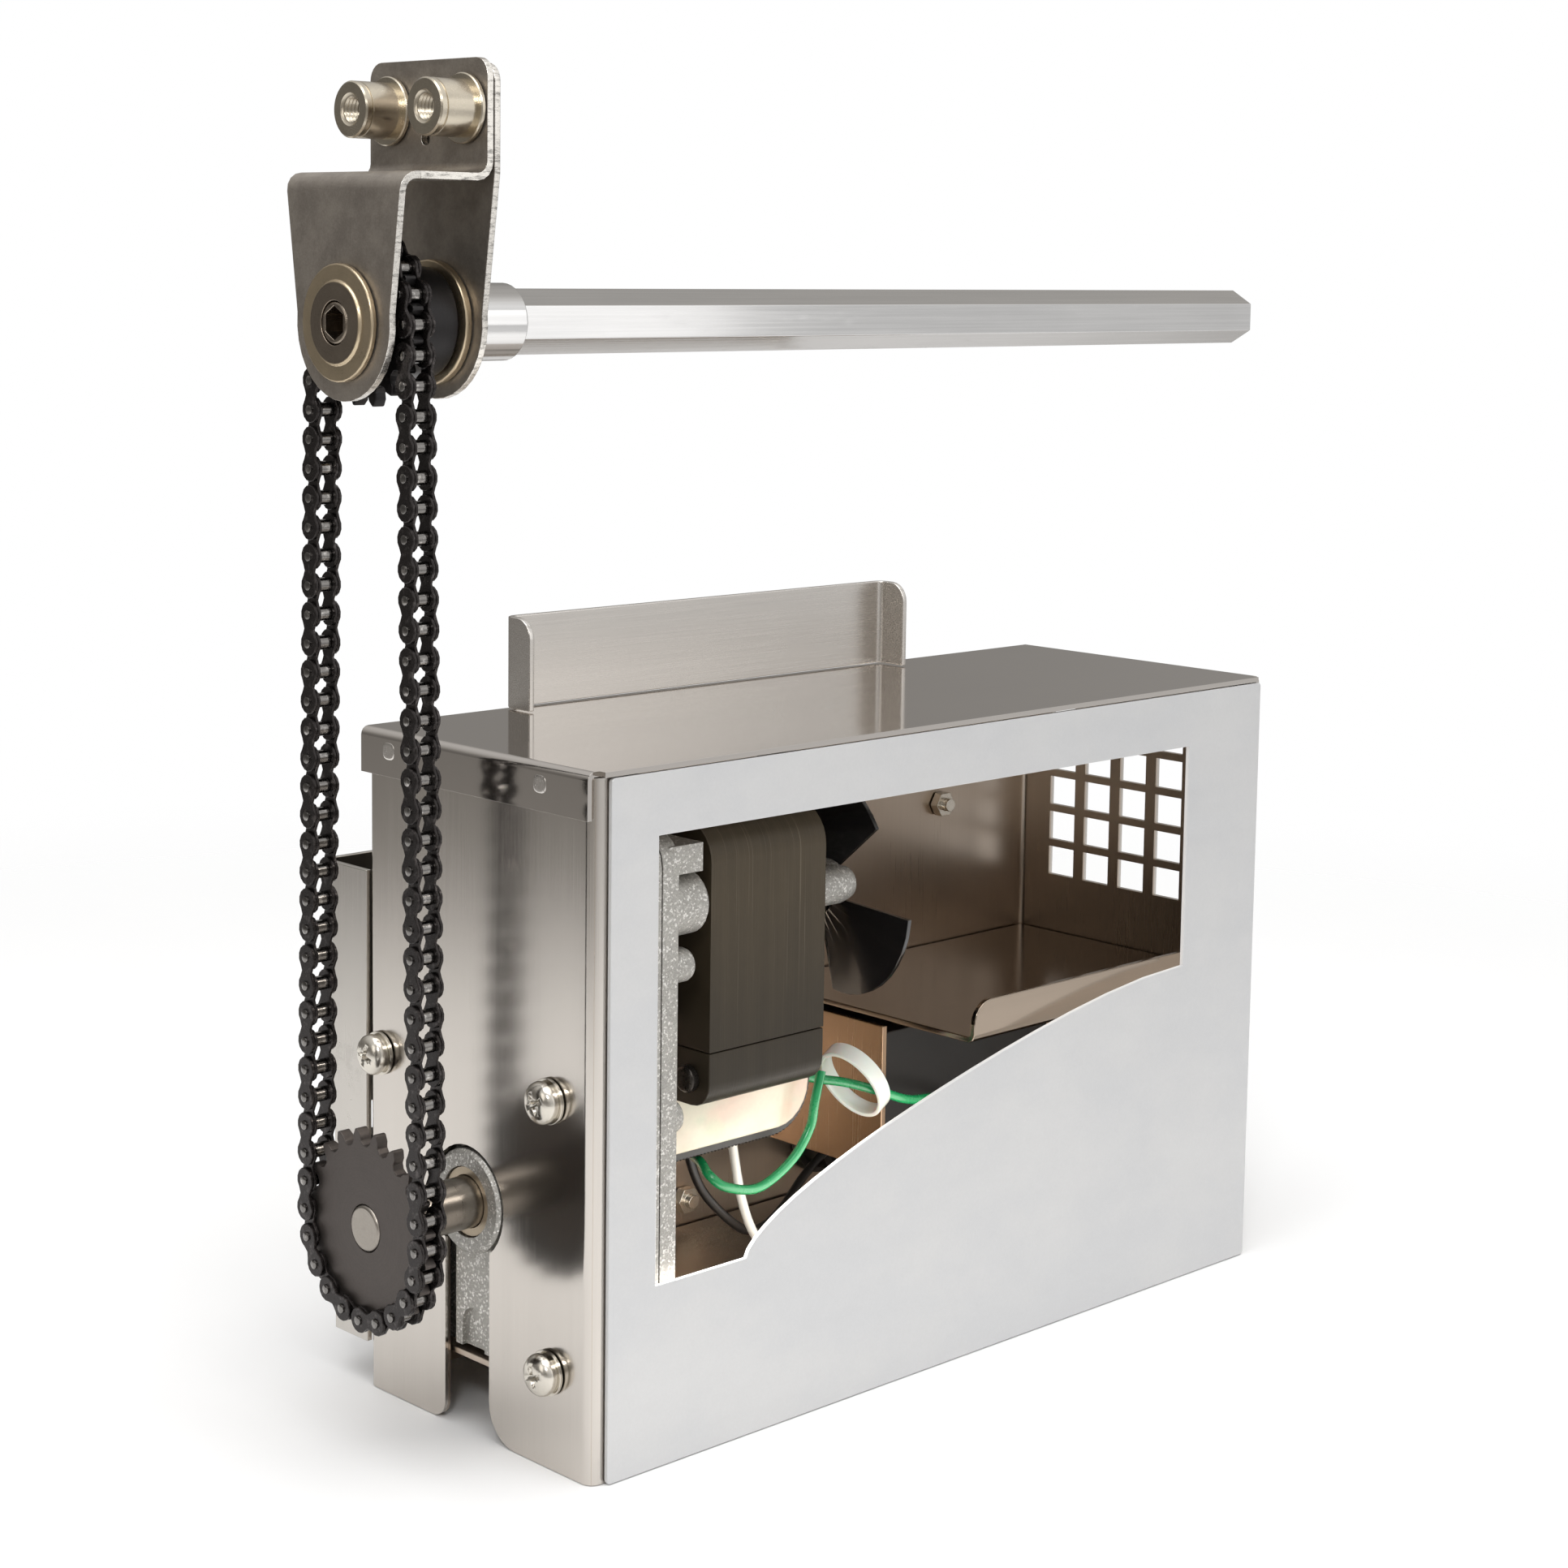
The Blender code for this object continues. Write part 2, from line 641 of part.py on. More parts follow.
def make_front_cover():
    low = (BEND_RADIUS + 0.5 * MM, 0)
    high = (BOX_WIDTH - 0.5 * MM, BOX_HEIGHT - LID_SHEET - GAP)
    cover = prism("front_cover", rounded(low, high, (1 * MM,) * 4, 3), "Y", -SHEET, -GAP, PALE_STEEL)
    cut(cover, prism("cut_window", window_outline(), "Y", -5 * MM, 5 * MM))


def make_lid():
    side = GAP + LID_SHEET
    left = -side
    right = BOX_WIDTH + side
    back = BOX_DEPTH + side
    top = BOX_HEIGHT
    across = bent_strip(
        [(left, top - LID_LIP), (left, top), (right, top), (right, top - LID_LIP)][::-1],
        LID_SHEET,
        2 * MM,
    )
    lid = prism("lid", across, "Y", 0.6 * MM, BOX_DEPTH, STAINLESS)
    join(lid, box("lid_front_edge", (1.6 * MM, -SHEET, top - LID_SHEET), (BOX_WIDTH - 1.6 * MM, 2 * MM, top)))
    lip = bent_strip(
        [(BOX_DEPTH - 4 * MM, top), (back, top), (back, top - LID_LIP)][::-1],
        LID_SHEET,
        2 * MM,
    )
    join(lid, prism("lid_back_lip", lip, "X", 1.6 * MM, BOX_WIDTH - 1.6 * MM))


def make_floor():
    reach = SHEET + CORNER_GAP
    low = (reach, reach, FLOOR_RISE)
    high = (BOX_WIDTH - reach, BOX_DEPTH - reach, FLOOR_TOP)
    box("floor_panel", low, high, STAINLESS)


def make_hanger():
    left = HANGER_LEFT
    right = left + HANGER_WIDTH
    front = BOX_DEPTH - HANGER_FLANGE
    path = [(left, front), (left, BOX_DEPTH), (right, BOX_DEPTH), (right, front)]
    outline = bent_strip(path[::-1], SHEET, BEND_RADIUS)
    low = BOX_HEIGHT + GAP
    high = low + HANGER_HEIGHT
    hanger = prism("hanger_bracket", outline, "Z", low, high, STAINLESS)
    reach = (left - 4 * MM, right + 4 * MM)
    cut(hanger, corner_cutter("cut_hanger", (front, high), (1, -1), HANGER_ROUND, "X", *reach))


def make_rear_channel():
    front = BOX_DEPTH + GAP
    back = front + CHANNEL_DEPTH
    path = [(0, front), (0, back), (CHANNEL_WIDTH, back), (CHANNEL_WIDTH, front)]
    outline = bent_strip(path[::-1], SHEET, BEND_RADIUS)
    top = min(CHANNEL_TOP, BOX_HEIGHT - LID_LIP - 4 * MM)
    channel = prism("rear_channel", outline, "Z", CHANNEL_BOTTOM, top, STAINLESS)
    notch_low = (-3 * MM, back - CHANNEL_NOTCH_DEPTH, CHANNEL_BOTTOM - 3 * MM)
    notch_high = (CHANNEL_WIDTH * 0.45, back + 3 * MM, CHANNEL_NOTCH_TOP)
    cut(channel, box("cut_notch", notch_low, notch_high))


def make_shelf():
    reach = SHEET + CORNER_GAP
    front = 3 * MM
    back = BOX_DEPTH - reach
    outline = bent_strip(
        [(front, SHELF_TOP + SHELF_LIP), (front, SHELF_HEIGHT), (back, SHELF_HEIGHT)],
        SHEET,
        2.5 * MM,
    )
    right = BOX_WIDTH - reach
    shelf = prism("divider_shelf", outline, "X", SHELF_LEFT, right, STAINLESS)
    corner = (SHELF_LEFT, SHELF_TOP + SHELF_LIP)
    cut(shelf, corner_cutter("cut_lip", corner, (1, -1), 6 * MM, "Y", front - 2 * MM, front + 4 * MM))


def make_screws():
    for tag, (y, z) in screw_places().items():
        washer_out = -WASHER_THICKNESS - GAP
        turned("washer_" + tag, [(washer_out, WASHER_RADIUS), (-GAP, WASHER_RADIUS)], (0, y, z),
               SCREW_STEEL, 24, SCREW_SHANK_RADIUS + GAP)
        under = washer_out - GAP
        head = 3 * MM
        inside = CASE_LEFT - GAP
        profile = [
            (under - head, 1.9 * MM),
            (under - 0.92 * head, 3.2 * MM),
            (under - 0.68 * head, 4.3 * MM),
            (under - 0.3 * head, SCREW_HEAD_RADIUS),
            (under, SCREW_HEAD_RADIUS),
            (under, SCREW_SHANK_RADIUS),
            (inside, SCREW_SHANK_RADIUS),
        ]
        turned("case_screw_" + tag, profile, (0, y, z), SCREW_STEEL, 24)




def make_nuts():
    inner = BOX_DEPTH - SHEET - GAP
    for name, (x, z) in NUTS.items():
        nut = prism(name, arc((x, z), 3.6 * MM, 0, 300, 5), "Y", inner - 2.6 * MM, inner, SCREW_STEEL)
        join(nut, round_bar("stud_of_" + name, (x, z), 1.8 * MM, inner - 4.4 * MM, BOX_DEPTH, None, 12))


def make_small_parts():
    # cable bushing through the back wall, and the rubber stop inside the rear channel
    x, z = INLET
    inner = BOX_DEPTH - SHEET
    bushing = round_bar("cable_bushing", INLET, INLET_RADIUS, inner - 11 * MM, BOX_DEPTH + 3 * MM,
                        BLACK_PLASTIC, 24)
    join(bushing, round_bar("bushing_rim", INLET, INLET_RADIUS + 1.6 * MM, inner - 3.3 * MM, inner - GAP,
                            None, 24))
    cut(bushing, round_bar("cut_bushing", INLET, 4.2 * MM, inner - 20 * MM, BOX_DEPTH + 10 * MM, None, 16))
    stop_at = (8.5 * MM, 52 * MM)
    round_bar("rear_bumper", stop_at, 5.5 * MM, BOX_DEPTH + GAP, BOX_DEPTH + CHANNEL_DEPTH - 1 * MM,
              BLACK_PLASTIC, 20)
    # control box and its bracket, under the shelf
    back = BOX_DEPTH - 8 * MM
    top = SHELF_HEIGHT - 1 * MM
    foot = CONTROL_Y + 12 * MM
    pass_height = FLOOR_TOP + 20 * MM
    plate = [(CONTROL_Y, FLOOR_TOP + GAP), (foot, FLOOR_TOP + GAP), (foot, pass_height),
             (back, pass_height), (back, top), (CONTROL_Y, top)]
    prism("control_bracket", plate, "X", CONTROL_X, CONTROL_X + SHEET, STAINLESS)
    left = CONTROL_X + SHEET + GAP
    control = rounded((left, CONTROL_FLOOR), (left + CONTROL_WIDTH, SHELF_HEIGHT - 3 * MM), (1.5 * MM,) * 4, 3)
    prism("control_box", control, "Y", CONTROL_Y + 1 * MM, BOX_DEPTH - 9 * MM, BLACK_PLASTIC)




# ---- gearbox -------------------------------------------------------------------------------------
def axle_places():
    """Centres of the two intermediate axles, as (y, z), from the three gear meshes."""
    motor = Vector((MOTOR_Y, MOTOR_Z))
    output = Vector((DRIVE_Y, OUTPUT_Z))
    swing = Vector((math.cos(FIRST_MESH_ANGLE), math.sin(FIRST_MESH_ANGLE)))
    first = motor + swing * FIRST_CENTRES
    between = output - first
    distance = between.length
    along = (SECOND_CENTRES ** 2 - THIRD_CENTRES ** 2 + distance ** 2) / (2 * distance)
    aside = math.sqrt(SECOND_CENTRES ** 2 - along ** 2)
    unit = between / distance
    second = first + unit * along + Vector((-unit.y, unit.x)) * aside
    return first, second


FAST_AXLE, SLOW_AXLE = axle_places()


def case_outline(grow=0.0):
    """The casting's outline: a tall rounded plate, drawn in by `grow` for its hollow."""
    low = (CASE_FRONT + grow, CASE_BOTTOM + grow)
    high = (CASE_BACK - grow, CASE_TOP - grow)
    return rounded(low, high, (max(CASE_ROUND - grow, 1 * MM),) * 4, 4)


def make_gear_case():
    case = prism("gear_case", case_outline(), "X", CASE_LEFT, CASE_SPLIT, CASTING)
    pocket = case_outline(CASE_WALL)
    cut(case, prism("cut_case", pocket, "X", CASE_LEFT + CASE_WALL, CASE_SPLIT + 4 * MM))
    boss = [(-0.6 * MM, BOSS_RADIUS - 0.8 * MM), (0.2 * MM, BOSS_RADIUS), (CASE_LEFT + 1 * MM, BOSS_RADIUS)]
    join(case, turned("case_boss", boss, (0, DRIVE_Y, OUTPUT_Z)))
    rib_half = KEYHOLE_SLOT / 2 - 1.6 * MM
    rib = [(DRIVE_Y - rib_half, CASE_BOTTOM + 0.4 * MM), (DRIVE_Y + rib_half, CASE_BOTTOM + 0.4 * MM),
           (DRIVE_Y + rib_half, OUTPUT_Z - 6 * MM), (DRIVE_Y - rib_half, OUTPUT_Z - 6 * MM)]
    join(case, prism("case_rib", rib, "X", SHEET + GAP, CASE_LEFT + 1 * MM))
    arch = [(DRIVE_Y - 4 * MM, CASE_BOTTOM - 4 * MM), (DRIVE_Y + 4 * MM, CASE_BOTTOM - 4 * MM)]
    arch += arc((DRIVE_Y, CASE_BOTTOM + 6 * MM), 4 * MM, 0, 180, 8)
    cut(case, prism("cut_arch", arch, "X", 0, SHEET + GAP + 1.4 * MM))
    bore = [(-4 * MM, BUSHING_RADIUS + RUNNING), (CASE_LEFT + CASE_WALL + 4 * MM, BUSHING_RADIUS + RUNNING)]
    cut(case, turned("cut_boss", bore, (0, DRIVE_Y, OUTPUT_Z)))
    for tag, (y, z) in (("fast", FAST_AXLE), ("slow", SLOW_AXLE)):
        hole = [(CASE_LEFT - 2 * MM, CLUSTER_BORE), (CASE_SPLIT, CLUSTER_BORE)]
        cut(case, turned("cut_axle_" + tag, hole, (0, y, z), steps=12))




def make_gear_case_cover():
    cover = prism("gear_case_cover", case_outline(), "X", CASE_SPLIT + GAP, CASE_RIGHT, CASTING)
    front = CASE_FRONT
    joints = (
        ("motor_boss", MOTOR_Y, MOTOR_Z, 8 * MM, 8 * MM),
        ("big_boss", front + 8 * MM, MOTOR_Z + 11.5 * MM, 7.5 * MM, 10.5 * MM),
        ("small_boss", front + 5.5 * MM, MOTOR_Z - 2 * MM, 4 * MM, 7 * MM),
        ("low_boss", front + 5.5 * MM, MOTOR_Z - 36 * MM, 4 * MM, 4 * MM),
        ("rear_boss", CASE_BACK - 9 * MM, MOTOR_Z + 11.5 * MM, 7.5 * MM, 10.5 * MM),
    )
    for tag, y, z, radius, length in joints:
        end = CASE_RIGHT + length
        profile = [(CASE_RIGHT - 2 * MM, radius), (end - 1 * MM, radius * 0.97), (end, radius * 0.85)]
        join(cover, turned(tag, profile, (0, y, z), steps=24))
    ear = [(front + 1 * MM, CASE_TOP - 9.5 * MM), (front + 12 * MM, CASE_TOP - 9.5 * MM),
           (front + 12 * MM, CASE_TOP - 3 * MM), (front + 1 * MM, CASE_TOP - 3 * MM)]
    join(cover, prism("top_ear", ear, "X", CASE_RIGHT - 2 * MM, CASE_RIGHT + 8 * MM))
    bore = [(CASE_SPLIT - 2 * MM, MOTOR_BORE), (CASE_RIGHT + 14 * MM, MOTOR_BORE)]
    cut(cover, turned("cut_motor_boss", bore, (0, MOTOR_Y, MOTOR_Z), steps=20))


def make_gear_train():
    first = FAST_AXLE
    second = SLOW_AXLE
    motor = Vector((MOTOR_Y, MOTOR_Z))
    output = Vector((DRIVE_Y, OUTPUT_Z))
    half_pinion = math.pi / PINION_TEETH

    def heading(start, end):
        return math.atan2(end.y - start.y, end.x - start.x)

    # motor pinion: a gap faces the first gear
    phase = heading(motor, first) + half_pinion
    pinion = prism("rotor_pinion", gear_outline(PINION_TEETH, MODULE_FAST, phase), "X",
                   PLANE_FAST[0] - 0.3 * MM, PLANE_FAST[1] + 0.3 * MM, GEAR_STEEL, (0, *motor))
    tip_bore = [(0, PINION_TIP + RUNNING), (CASE_RIGHT, PINION_TIP + RUNNING)]
    cut(pinion, turned("cut_rotor_pinion", tip_bore, (0, *motor), steps=12))

    stages = (
        ("gear_cluster_fast", first, motor, second, MODULE_FAST, PLANE_FAST, MODULE_MIDDLE, PLANE_MIDDLE),
        ("gear_cluster_slow", second, first, output, MODULE_MIDDLE, PLANE_MIDDLE, MODULE_SLOW, PLANE_SLOW),
    )
    for name, axle, driver, driven, gear_module, gear_plane, pinion_module, pinion_plane in stages:
        gear = prism(name, gear_outline(GEAR_TEETH, gear_module, heading(axle, driver)), "X",
                     gear_plane[0], gear_plane[1], GEAR_STEEL, (0, *axle))
        teeth = gear_outline(PINION_TEETH, pinion_module, heading(axle, driven) + half_pinion)
        join(gear, prism("pinion_of_" + name, teeth, "X", pinion_plane[0], gear_plane[0] + 1 * MM,
                         at=(0, *axle)))
        bore = [(0, CLUSTER_BORE), (CASE_RIGHT, CLUSTER_BORE)]
        cut(gear, turned("cut_" + name, bore, (0, *axle), steps=12))
        turned("axle_" + name.split("_")[-1], [(CASE_LEFT + 0.4 * MM, AXLE_RADIUS),
               (CASE_SPLIT, AXLE_RADIUS)], (0, *axle), BRIGHT_STEEL, 12)

    wheel = prism("output_gear", gear_outline(GEAR_TEETH, MODULE_SLOW, heading(output, second)), "X",
                  PLANE_SLOW[0], PLANE_SLOW[1], GEAR_STEEL, (0, *output))
    bore = [(0, OUTPUT_BORE), (CASE_RIGHT, OUTPUT_BORE)]
    cut(wheel, turned("cut_output_gear", bore, (0, *output), steps=28))




def make_output():
    at = (0, DRIVE_Y, OUTPUT_Z)
    face = CHAIN_X - SPROCKET_THICKNESS / 2
    step = CHAIN_X + SPROCKET_THICKNESS / 2 + GAP
    profile = [
        (face - 0.4 * MM, OUTPUT_TIP_RADIUS - 0.5 * MM),
        (face + 0.1 * MM, OUTPUT_TIP_RADIUS),
        (step, OUTPUT_TIP_RADIUS),
        (step, OUTPUT_RADIUS),
        (PLANE_SLOW[1] + 2 * MM, OUTPUT_RADIUS),
        (PLANE_SLOW[1] + 2 * MM, 3 * MM),
        (CASE_SPLIT - 1 * MM, 3 * MM),
    ]
    turned("output_shaft", profile, at, BRIGHT_STEEL, 28)
    turned("output_bushing", [(0, BUSHING_RADIUS), (CASE_LEFT + 2 * MM, BUSHING_RADIUS)], at, BRONZE, 28,
           OUTPUT_BORE)
    teeth = sprocket_outline(LOWER_TEETH, LOWER_PITCH_RADIUS, -math.pi / 2)
    sprocket = prism("lower_sprocket", teeth, "X", -SPROCKET_THICKNESS / 2, SPROCKET_THICKNESS / 2,
                     BLACK_STEEL, LOWER_CENTRE)
    bore = [(-6 * MM, OUTPUT_TIP_RADIUS + RUNNING), (6 * MM, OUTPUT_TIP_RADIUS + RUNNING)]
    cut(sprocket, turned("cut_lower_sprocket", bore, LOWER_CENTRE, steps=28))


# ---- motor ---------------------------------------------------------------------------------------
def bolt_places():
    """Stack bolts as (y, z): two in the upper corners, two in the limb."""
    inset = 6 * MM
    return {
        "upper_front": (STACK_FRONT + inset, STACK_TOP - 8.5 * MM),
        "upper_rear": (STACK_BACK - inset, STACK_TOP - 8.5 * MM),
        "lower_front": (STACK_FRONT + inset, (LIMB_BOTTOM + LIMB_TOP) / 2),
        "lower_rear": (STACK_BACK - inset, (LIMB_BOTTOM + LIMB_TOP) / 2),
    }




def make_stator():
    outline = rounded((STACK_FRONT, LIMB_TOP + GAP), (STACK_BACK, STACK_TOP), (0, 0, 9 * MM, 9 * MM), 7)
    core = prism("stator_core", outline, "X", STACK_LEFT, STACK_RIGHT, LAMINATION)
    window = rounded((STACK_FRONT + LEG_DEPTH, LIMB_TOP - 5 * MM), (STACK_BACK - LEG_DEPTH, STACK_WINDOW_TOP),
                     (0, 0, 1.5 * MM, 1.5 * MM), 2)
    reach = (STACK_LEFT - 4 * MM, STACK_RIGHT + 4 * MM)
    cut(core, prism("cut_window_core", window, "X", *reach))
    bore = [(reach[0], ROTOR_BORE), (reach[1], ROTOR_BORE)]
    cut(core, turned("cut_rotor_bore", bore, (0, MOTOR_Y, MOTOR_Z), steps=32))
    limb_outline = rounded((STACK_FRONT, LIMB_BOTTOM), (STACK_BACK, LIMB_TOP), (6 * MM, 6 * MM, 0, 0), 5)
    limb = prism("stator_limb", limb_outline, "X", STACK_LEFT, STACK_RIGHT, LAMINATION)
    for tag, (y, z) in bolt_places().items():
        hole = [(reach[0], BOLT_RADIUS + GAP), (reach[1], BOLT_RADIUS + GAP)]
        target = core if tag.startswith("upper") else limb
        cut(target, turned("cut_bolt_" + tag, hole, (0, y, z), steps=12))
        under = STACK_LEFT - GAP
        profile = [
            (under - 2.4 * MM, 2.4 * MM),
            (under - 1.8 * MM, 3.1 * MM),
            (under, 3.1 * MM),
            (under, BOLT_RADIUS),
            (STACK_RIGHT + 2 * MM, BOLT_RADIUS),
        ]
        turned("stack_bolt_" + tag, profile, (0, y, z), DARK_STEEL, 16)


def make_coil():
    low = (STACK_LEFT - COIL_BUILD, COIL_BOTTOM)
    high = (STACK_RIGHT + COIL_BUILD, COIL_TOP)
    front = STACK_FRONT + LEG_DEPTH + COIL_END_SPACE
    back = STACK_BACK - LEG_DEPTH - COIL_END_SPACE
    coil = prism("coil", rounded(low, high, (10 * MM,) * 4, 6), "Y", front, back, COIL_TAPE)
    hole_low = (STACK_LEFT - GAP, LIMB_BOTTOM - GAP)
    hole_high = (STACK_RIGHT + GAP, LIMB_TOP + GAP)
    cut(coil, prism("cut_coil", rounded(hole_low, hole_high, (0,) * 4), "Y", front - 5 * MM, back + 5 * MM))
    side = WRAP + GAP
    wrap_low = (low[0] - side, low[1] - side)
    wrap_high = (high[0] + side, high[1] + side)
    wrap = prism("coil_wrap", rounded(wrap_low, wrap_high, (10 * MM + side,) * 4, 6), "Y",
                 front + 2 * MM, back - 2 * MM, BLACK_PLASTIC)
    inner_low = (low[0] - GAP, low[1] - GAP)
    inner_high = (high[0] + GAP, high[1] + GAP)
    cut(wrap, prism("cut_coil_wrap", rounded(inner_low, inner_high, (10 * MM + GAP,) * 4, 6), "Y",
                    front - 5 * MM, back + 5 * MM))


def make_rotor():
    profile = [
        (PLANE_FAST[0] - 0.8 * MM, PINION_TIP),
        (PLANE_FAST[1] + 1.2 * MM, PINION_TIP),
        (PLANE_FAST[1] + 1.2 * MM, MOTOR_SHAFT_RADIUS),
        (STACK_LEFT + 1 * MM, MOTOR_SHAFT_RADIUS),
        (STACK_LEFT + 1 * MM, ROTOR_RADIUS),
        (STACK_RIGHT - 1 * MM, ROTOR_RADIUS),
        (STACK_RIGHT - 1 * MM, MOTOR_SHAFT_RADIUS),
        (FAN_X + 6 * MM, MOTOR_SHAFT_RADIUS),
    ]
    turned("rotor", profile, (0, MOTOR_Y, MOTOR_Z), BRIGHT_STEEL, 28)


def make_fan():
    at = (FAN_X, MOTOR_Y, MOTOR_Z)
    hub = [(-4.5 * MM, 6.5 * MM), (-4 * MM, 7 * MM), (4.5 * MM, 7 * MM)]
    fan = turned("fan", hub, at, BLACK_PLASTIC, 24)
    across = 10
    for blade in range(FAN_BLADES):
        shape = bmesh.new()
        sides = []
        for offset in (-0.6 * MM, 0.6 * MM):
            rows = []
            for k in range(across + 1):
                share = k / across
                angle = math.radians(FAN_LEADING_EDGE + FAN_BLADE_SWEEP * share + 360 / FAN_BLADES * blade)
                trim = 1 - FAN_BLADE_TRIM * share ** 1.1
                twist = (share - 0.5) * FAN_BLADE_PITCH
                row = []
                for radius in (5 * MM, 20 * MM * trim, FAN_RADIUS * trim):
                    lean = twist * (0.45 + 0.55 * radius / FAN_RADIUS)
                    row.append(shape.verts.new((lean + offset, radius * math.cos(angle), radius * math.sin(angle))))
                rows.append(row)
            sides.append(rows)
        lower, upper = sides
        last = len(lower[0]) - 1
        for i in range(across):
            for j in range(last):
                for rows in (lower, upper):
                    shape.faces.new((rows[i][j], rows[i + 1][j], rows[i + 1][j + 1], rows[i][j + 1]))
        for i in range(across):
            for j in (0, last):
                shape.faces.new((lower[i][j], lower[i + 1][j], upper[i + 1][j], upper[i][j]))
        for i in (0, across):
            for j in range(last):
                shape.faces.new((lower[i][j], lower[i][j + 1], upper[i][j + 1], upper[i][j]))
        join(fan, from_bmesh("fan_blade_%d" % blade, shape, None, at))
    bore = [(-12 * MM, MOTOR_BORE), (12 * MM, MOTOR_BORE)]
    cut(fan, turned("cut_fan", bore, at, steps=16))


def make_rear_bearing():
    left = STACK_RIGHT + GAP
    right = FAN_X - 9.5 * MM
    bridge_low = right - 4 * MM
    front = STACK_FRONT + 12 * MM
    back = STACK_BACK - 12 * MM
    column_z = MOTOR_Z + 6 * MM
    at = (0, MOTOR_Y, MOTOR_Z)
    half = 5 * MM
    outline = rounded((front, column_z - half), (back, column_z + half), (4 * MM,) * 4, 3)
    bracket = prism("rear_bearing_bracket", outline, "X", bridge_low, right - 0.6 * MM, CASTING)
    for tag, y in (("front", front), ("back", back)):
        column = [(left, 4.7 * MM), (right - 3 * MM, 4.7 * MM), (right, 3.9 * MM)]
        join(bracket, turned("column_" + tag, column, (0, y, column_z), steps=20))
    boss = [(bridge_low - 4 * MM, 6.2 * MM), (right, 6.2 * MM)]
    join(bracket, turned("bearing_boss", boss, at, steps=24))
    bore = [(left, MOTOR_BORE), (right + 6 * MM, MOTOR_BORE)]
    cut(bracket, turned("cut_bearing", bore, at, steps=16))


# ---- wiring --------------------------------------------------------------------------------------
def make_wiring():
    wire("green_wire_loop", [(9, 17.5, 73), (6.5, 17, 66), (5, 17, 59.9), (-1, 17, 53.2), (-11.5, 17, 48.9),
                             (-21, 17.8, 50.8), (-24, 20.5, 53.6), (-22.5, 25, 55.2), (-21, 29, 55.4)],
         WIRE_RADIUS, GREEN_WIRE, 30)
    wire("green_wire_lead", [(13.8, 31, 69), (18, 29.5, 67), (25, 25, 65.5), (32, 20.5, 63), (41, 19, 59.5),
                             (54, 22, 57), (69, 26, 53), (80, 27.5, 47), (83, 34, 40), (80, 48, 34),
                             (75, 58, 31.5), (71.5, 66, 31.5)], WIRE_RADIUS, GREEN_WIRE)
    wire("white_wire", [(-1, 38, 56), (0, 37.5, 48), (2, 37, 38), (6, 37, 29), (14, 39, 22), (25, 44, 19.5),
                        (37, 50, 20), (49, 57, 22.5), (59, 62, 26), (65, 66, 28)], WIRE_RADIUS, WHITE_WIRE)
    wire("black_wire", [(-7, 48, 56), (-5.5, 48, 48), (-2, 47, 39), (5, 46, 31), (14, 48, 25), (25, 53, 22.5),
                        (37, 58.5, 23.5), (49, 64, 27), (59, 66.5, 31), (64.5, 67, 32.8)], WIRE_RADIUS,
         BLACK_PLASTIC)


def make_cable_tie():
    """A wide flat nylon loop, held open round the green lead."""
    major = Vector(TIE_MAJOR).normalized()
    across = Vector(TIE_ACROSS)
    minor = (across - across.dot(major) * major).normalized()
    wide = major.cross(minor)
    shape = bmesh.new()
    steps = 28
    rings = []
    for k in range(steps):
        angle = 2 * math.pi * k / steps
        ring = []
        for reach, side in ((0, -1), (0, 1), (-TIE_THICKNESS, 1), (-TIE_THICKNESS, -1)):
            point = major * (TIE_LONG + reach) * math.cos(angle) + minor * (TIE_SHORT + reach) * math.sin(angle)
            ring.append(shape.verts.new(point + wide * side * TIE_WIDTH / 2))
        rings.append(ring)
    for k in range(steps):
        ring = rings[k]
        following = rings[(k + 1) % steps]
        for j in range(4):
            n = (j + 1) % 4
            shape.faces.new((ring[j], ring[n], following[n], following[j]))
    from_bmesh("cable_tie", shape, NYLON, TIE_CENTRE)


# ---- upper drive ---------------------------------------------------------------------------------
LEDGE_Z = DRIVE_Z + LEG_HEIGHT


def leg_outline(top):
    """Leg seen along X: square on top, tapering to a round end on the shaft's axis."""
    half = BRACKET_WIDTH / 2
    reach = math.hypot(half, LEG_HEIGHT)
    taper = math.degrees(math.atan2(half, LEG_HEIGHT) - math.asin(min(LEG_RADIUS / reach, 0.99)))
    points = arc((DRIVE_Y, DRIVE_Z), LEG_RADIUS, 180 - taper, 360 + taper, 18)
    points += [(DRIVE_Y + half, DRIVE_Z + LEG_HEIGHT), (DRIVE_Y + half, top)]
    points += [(DRIVE_Y - half, top), (DRIVE_Y - half, DRIVE_Z + LEG_HEIGHT)]
    return points


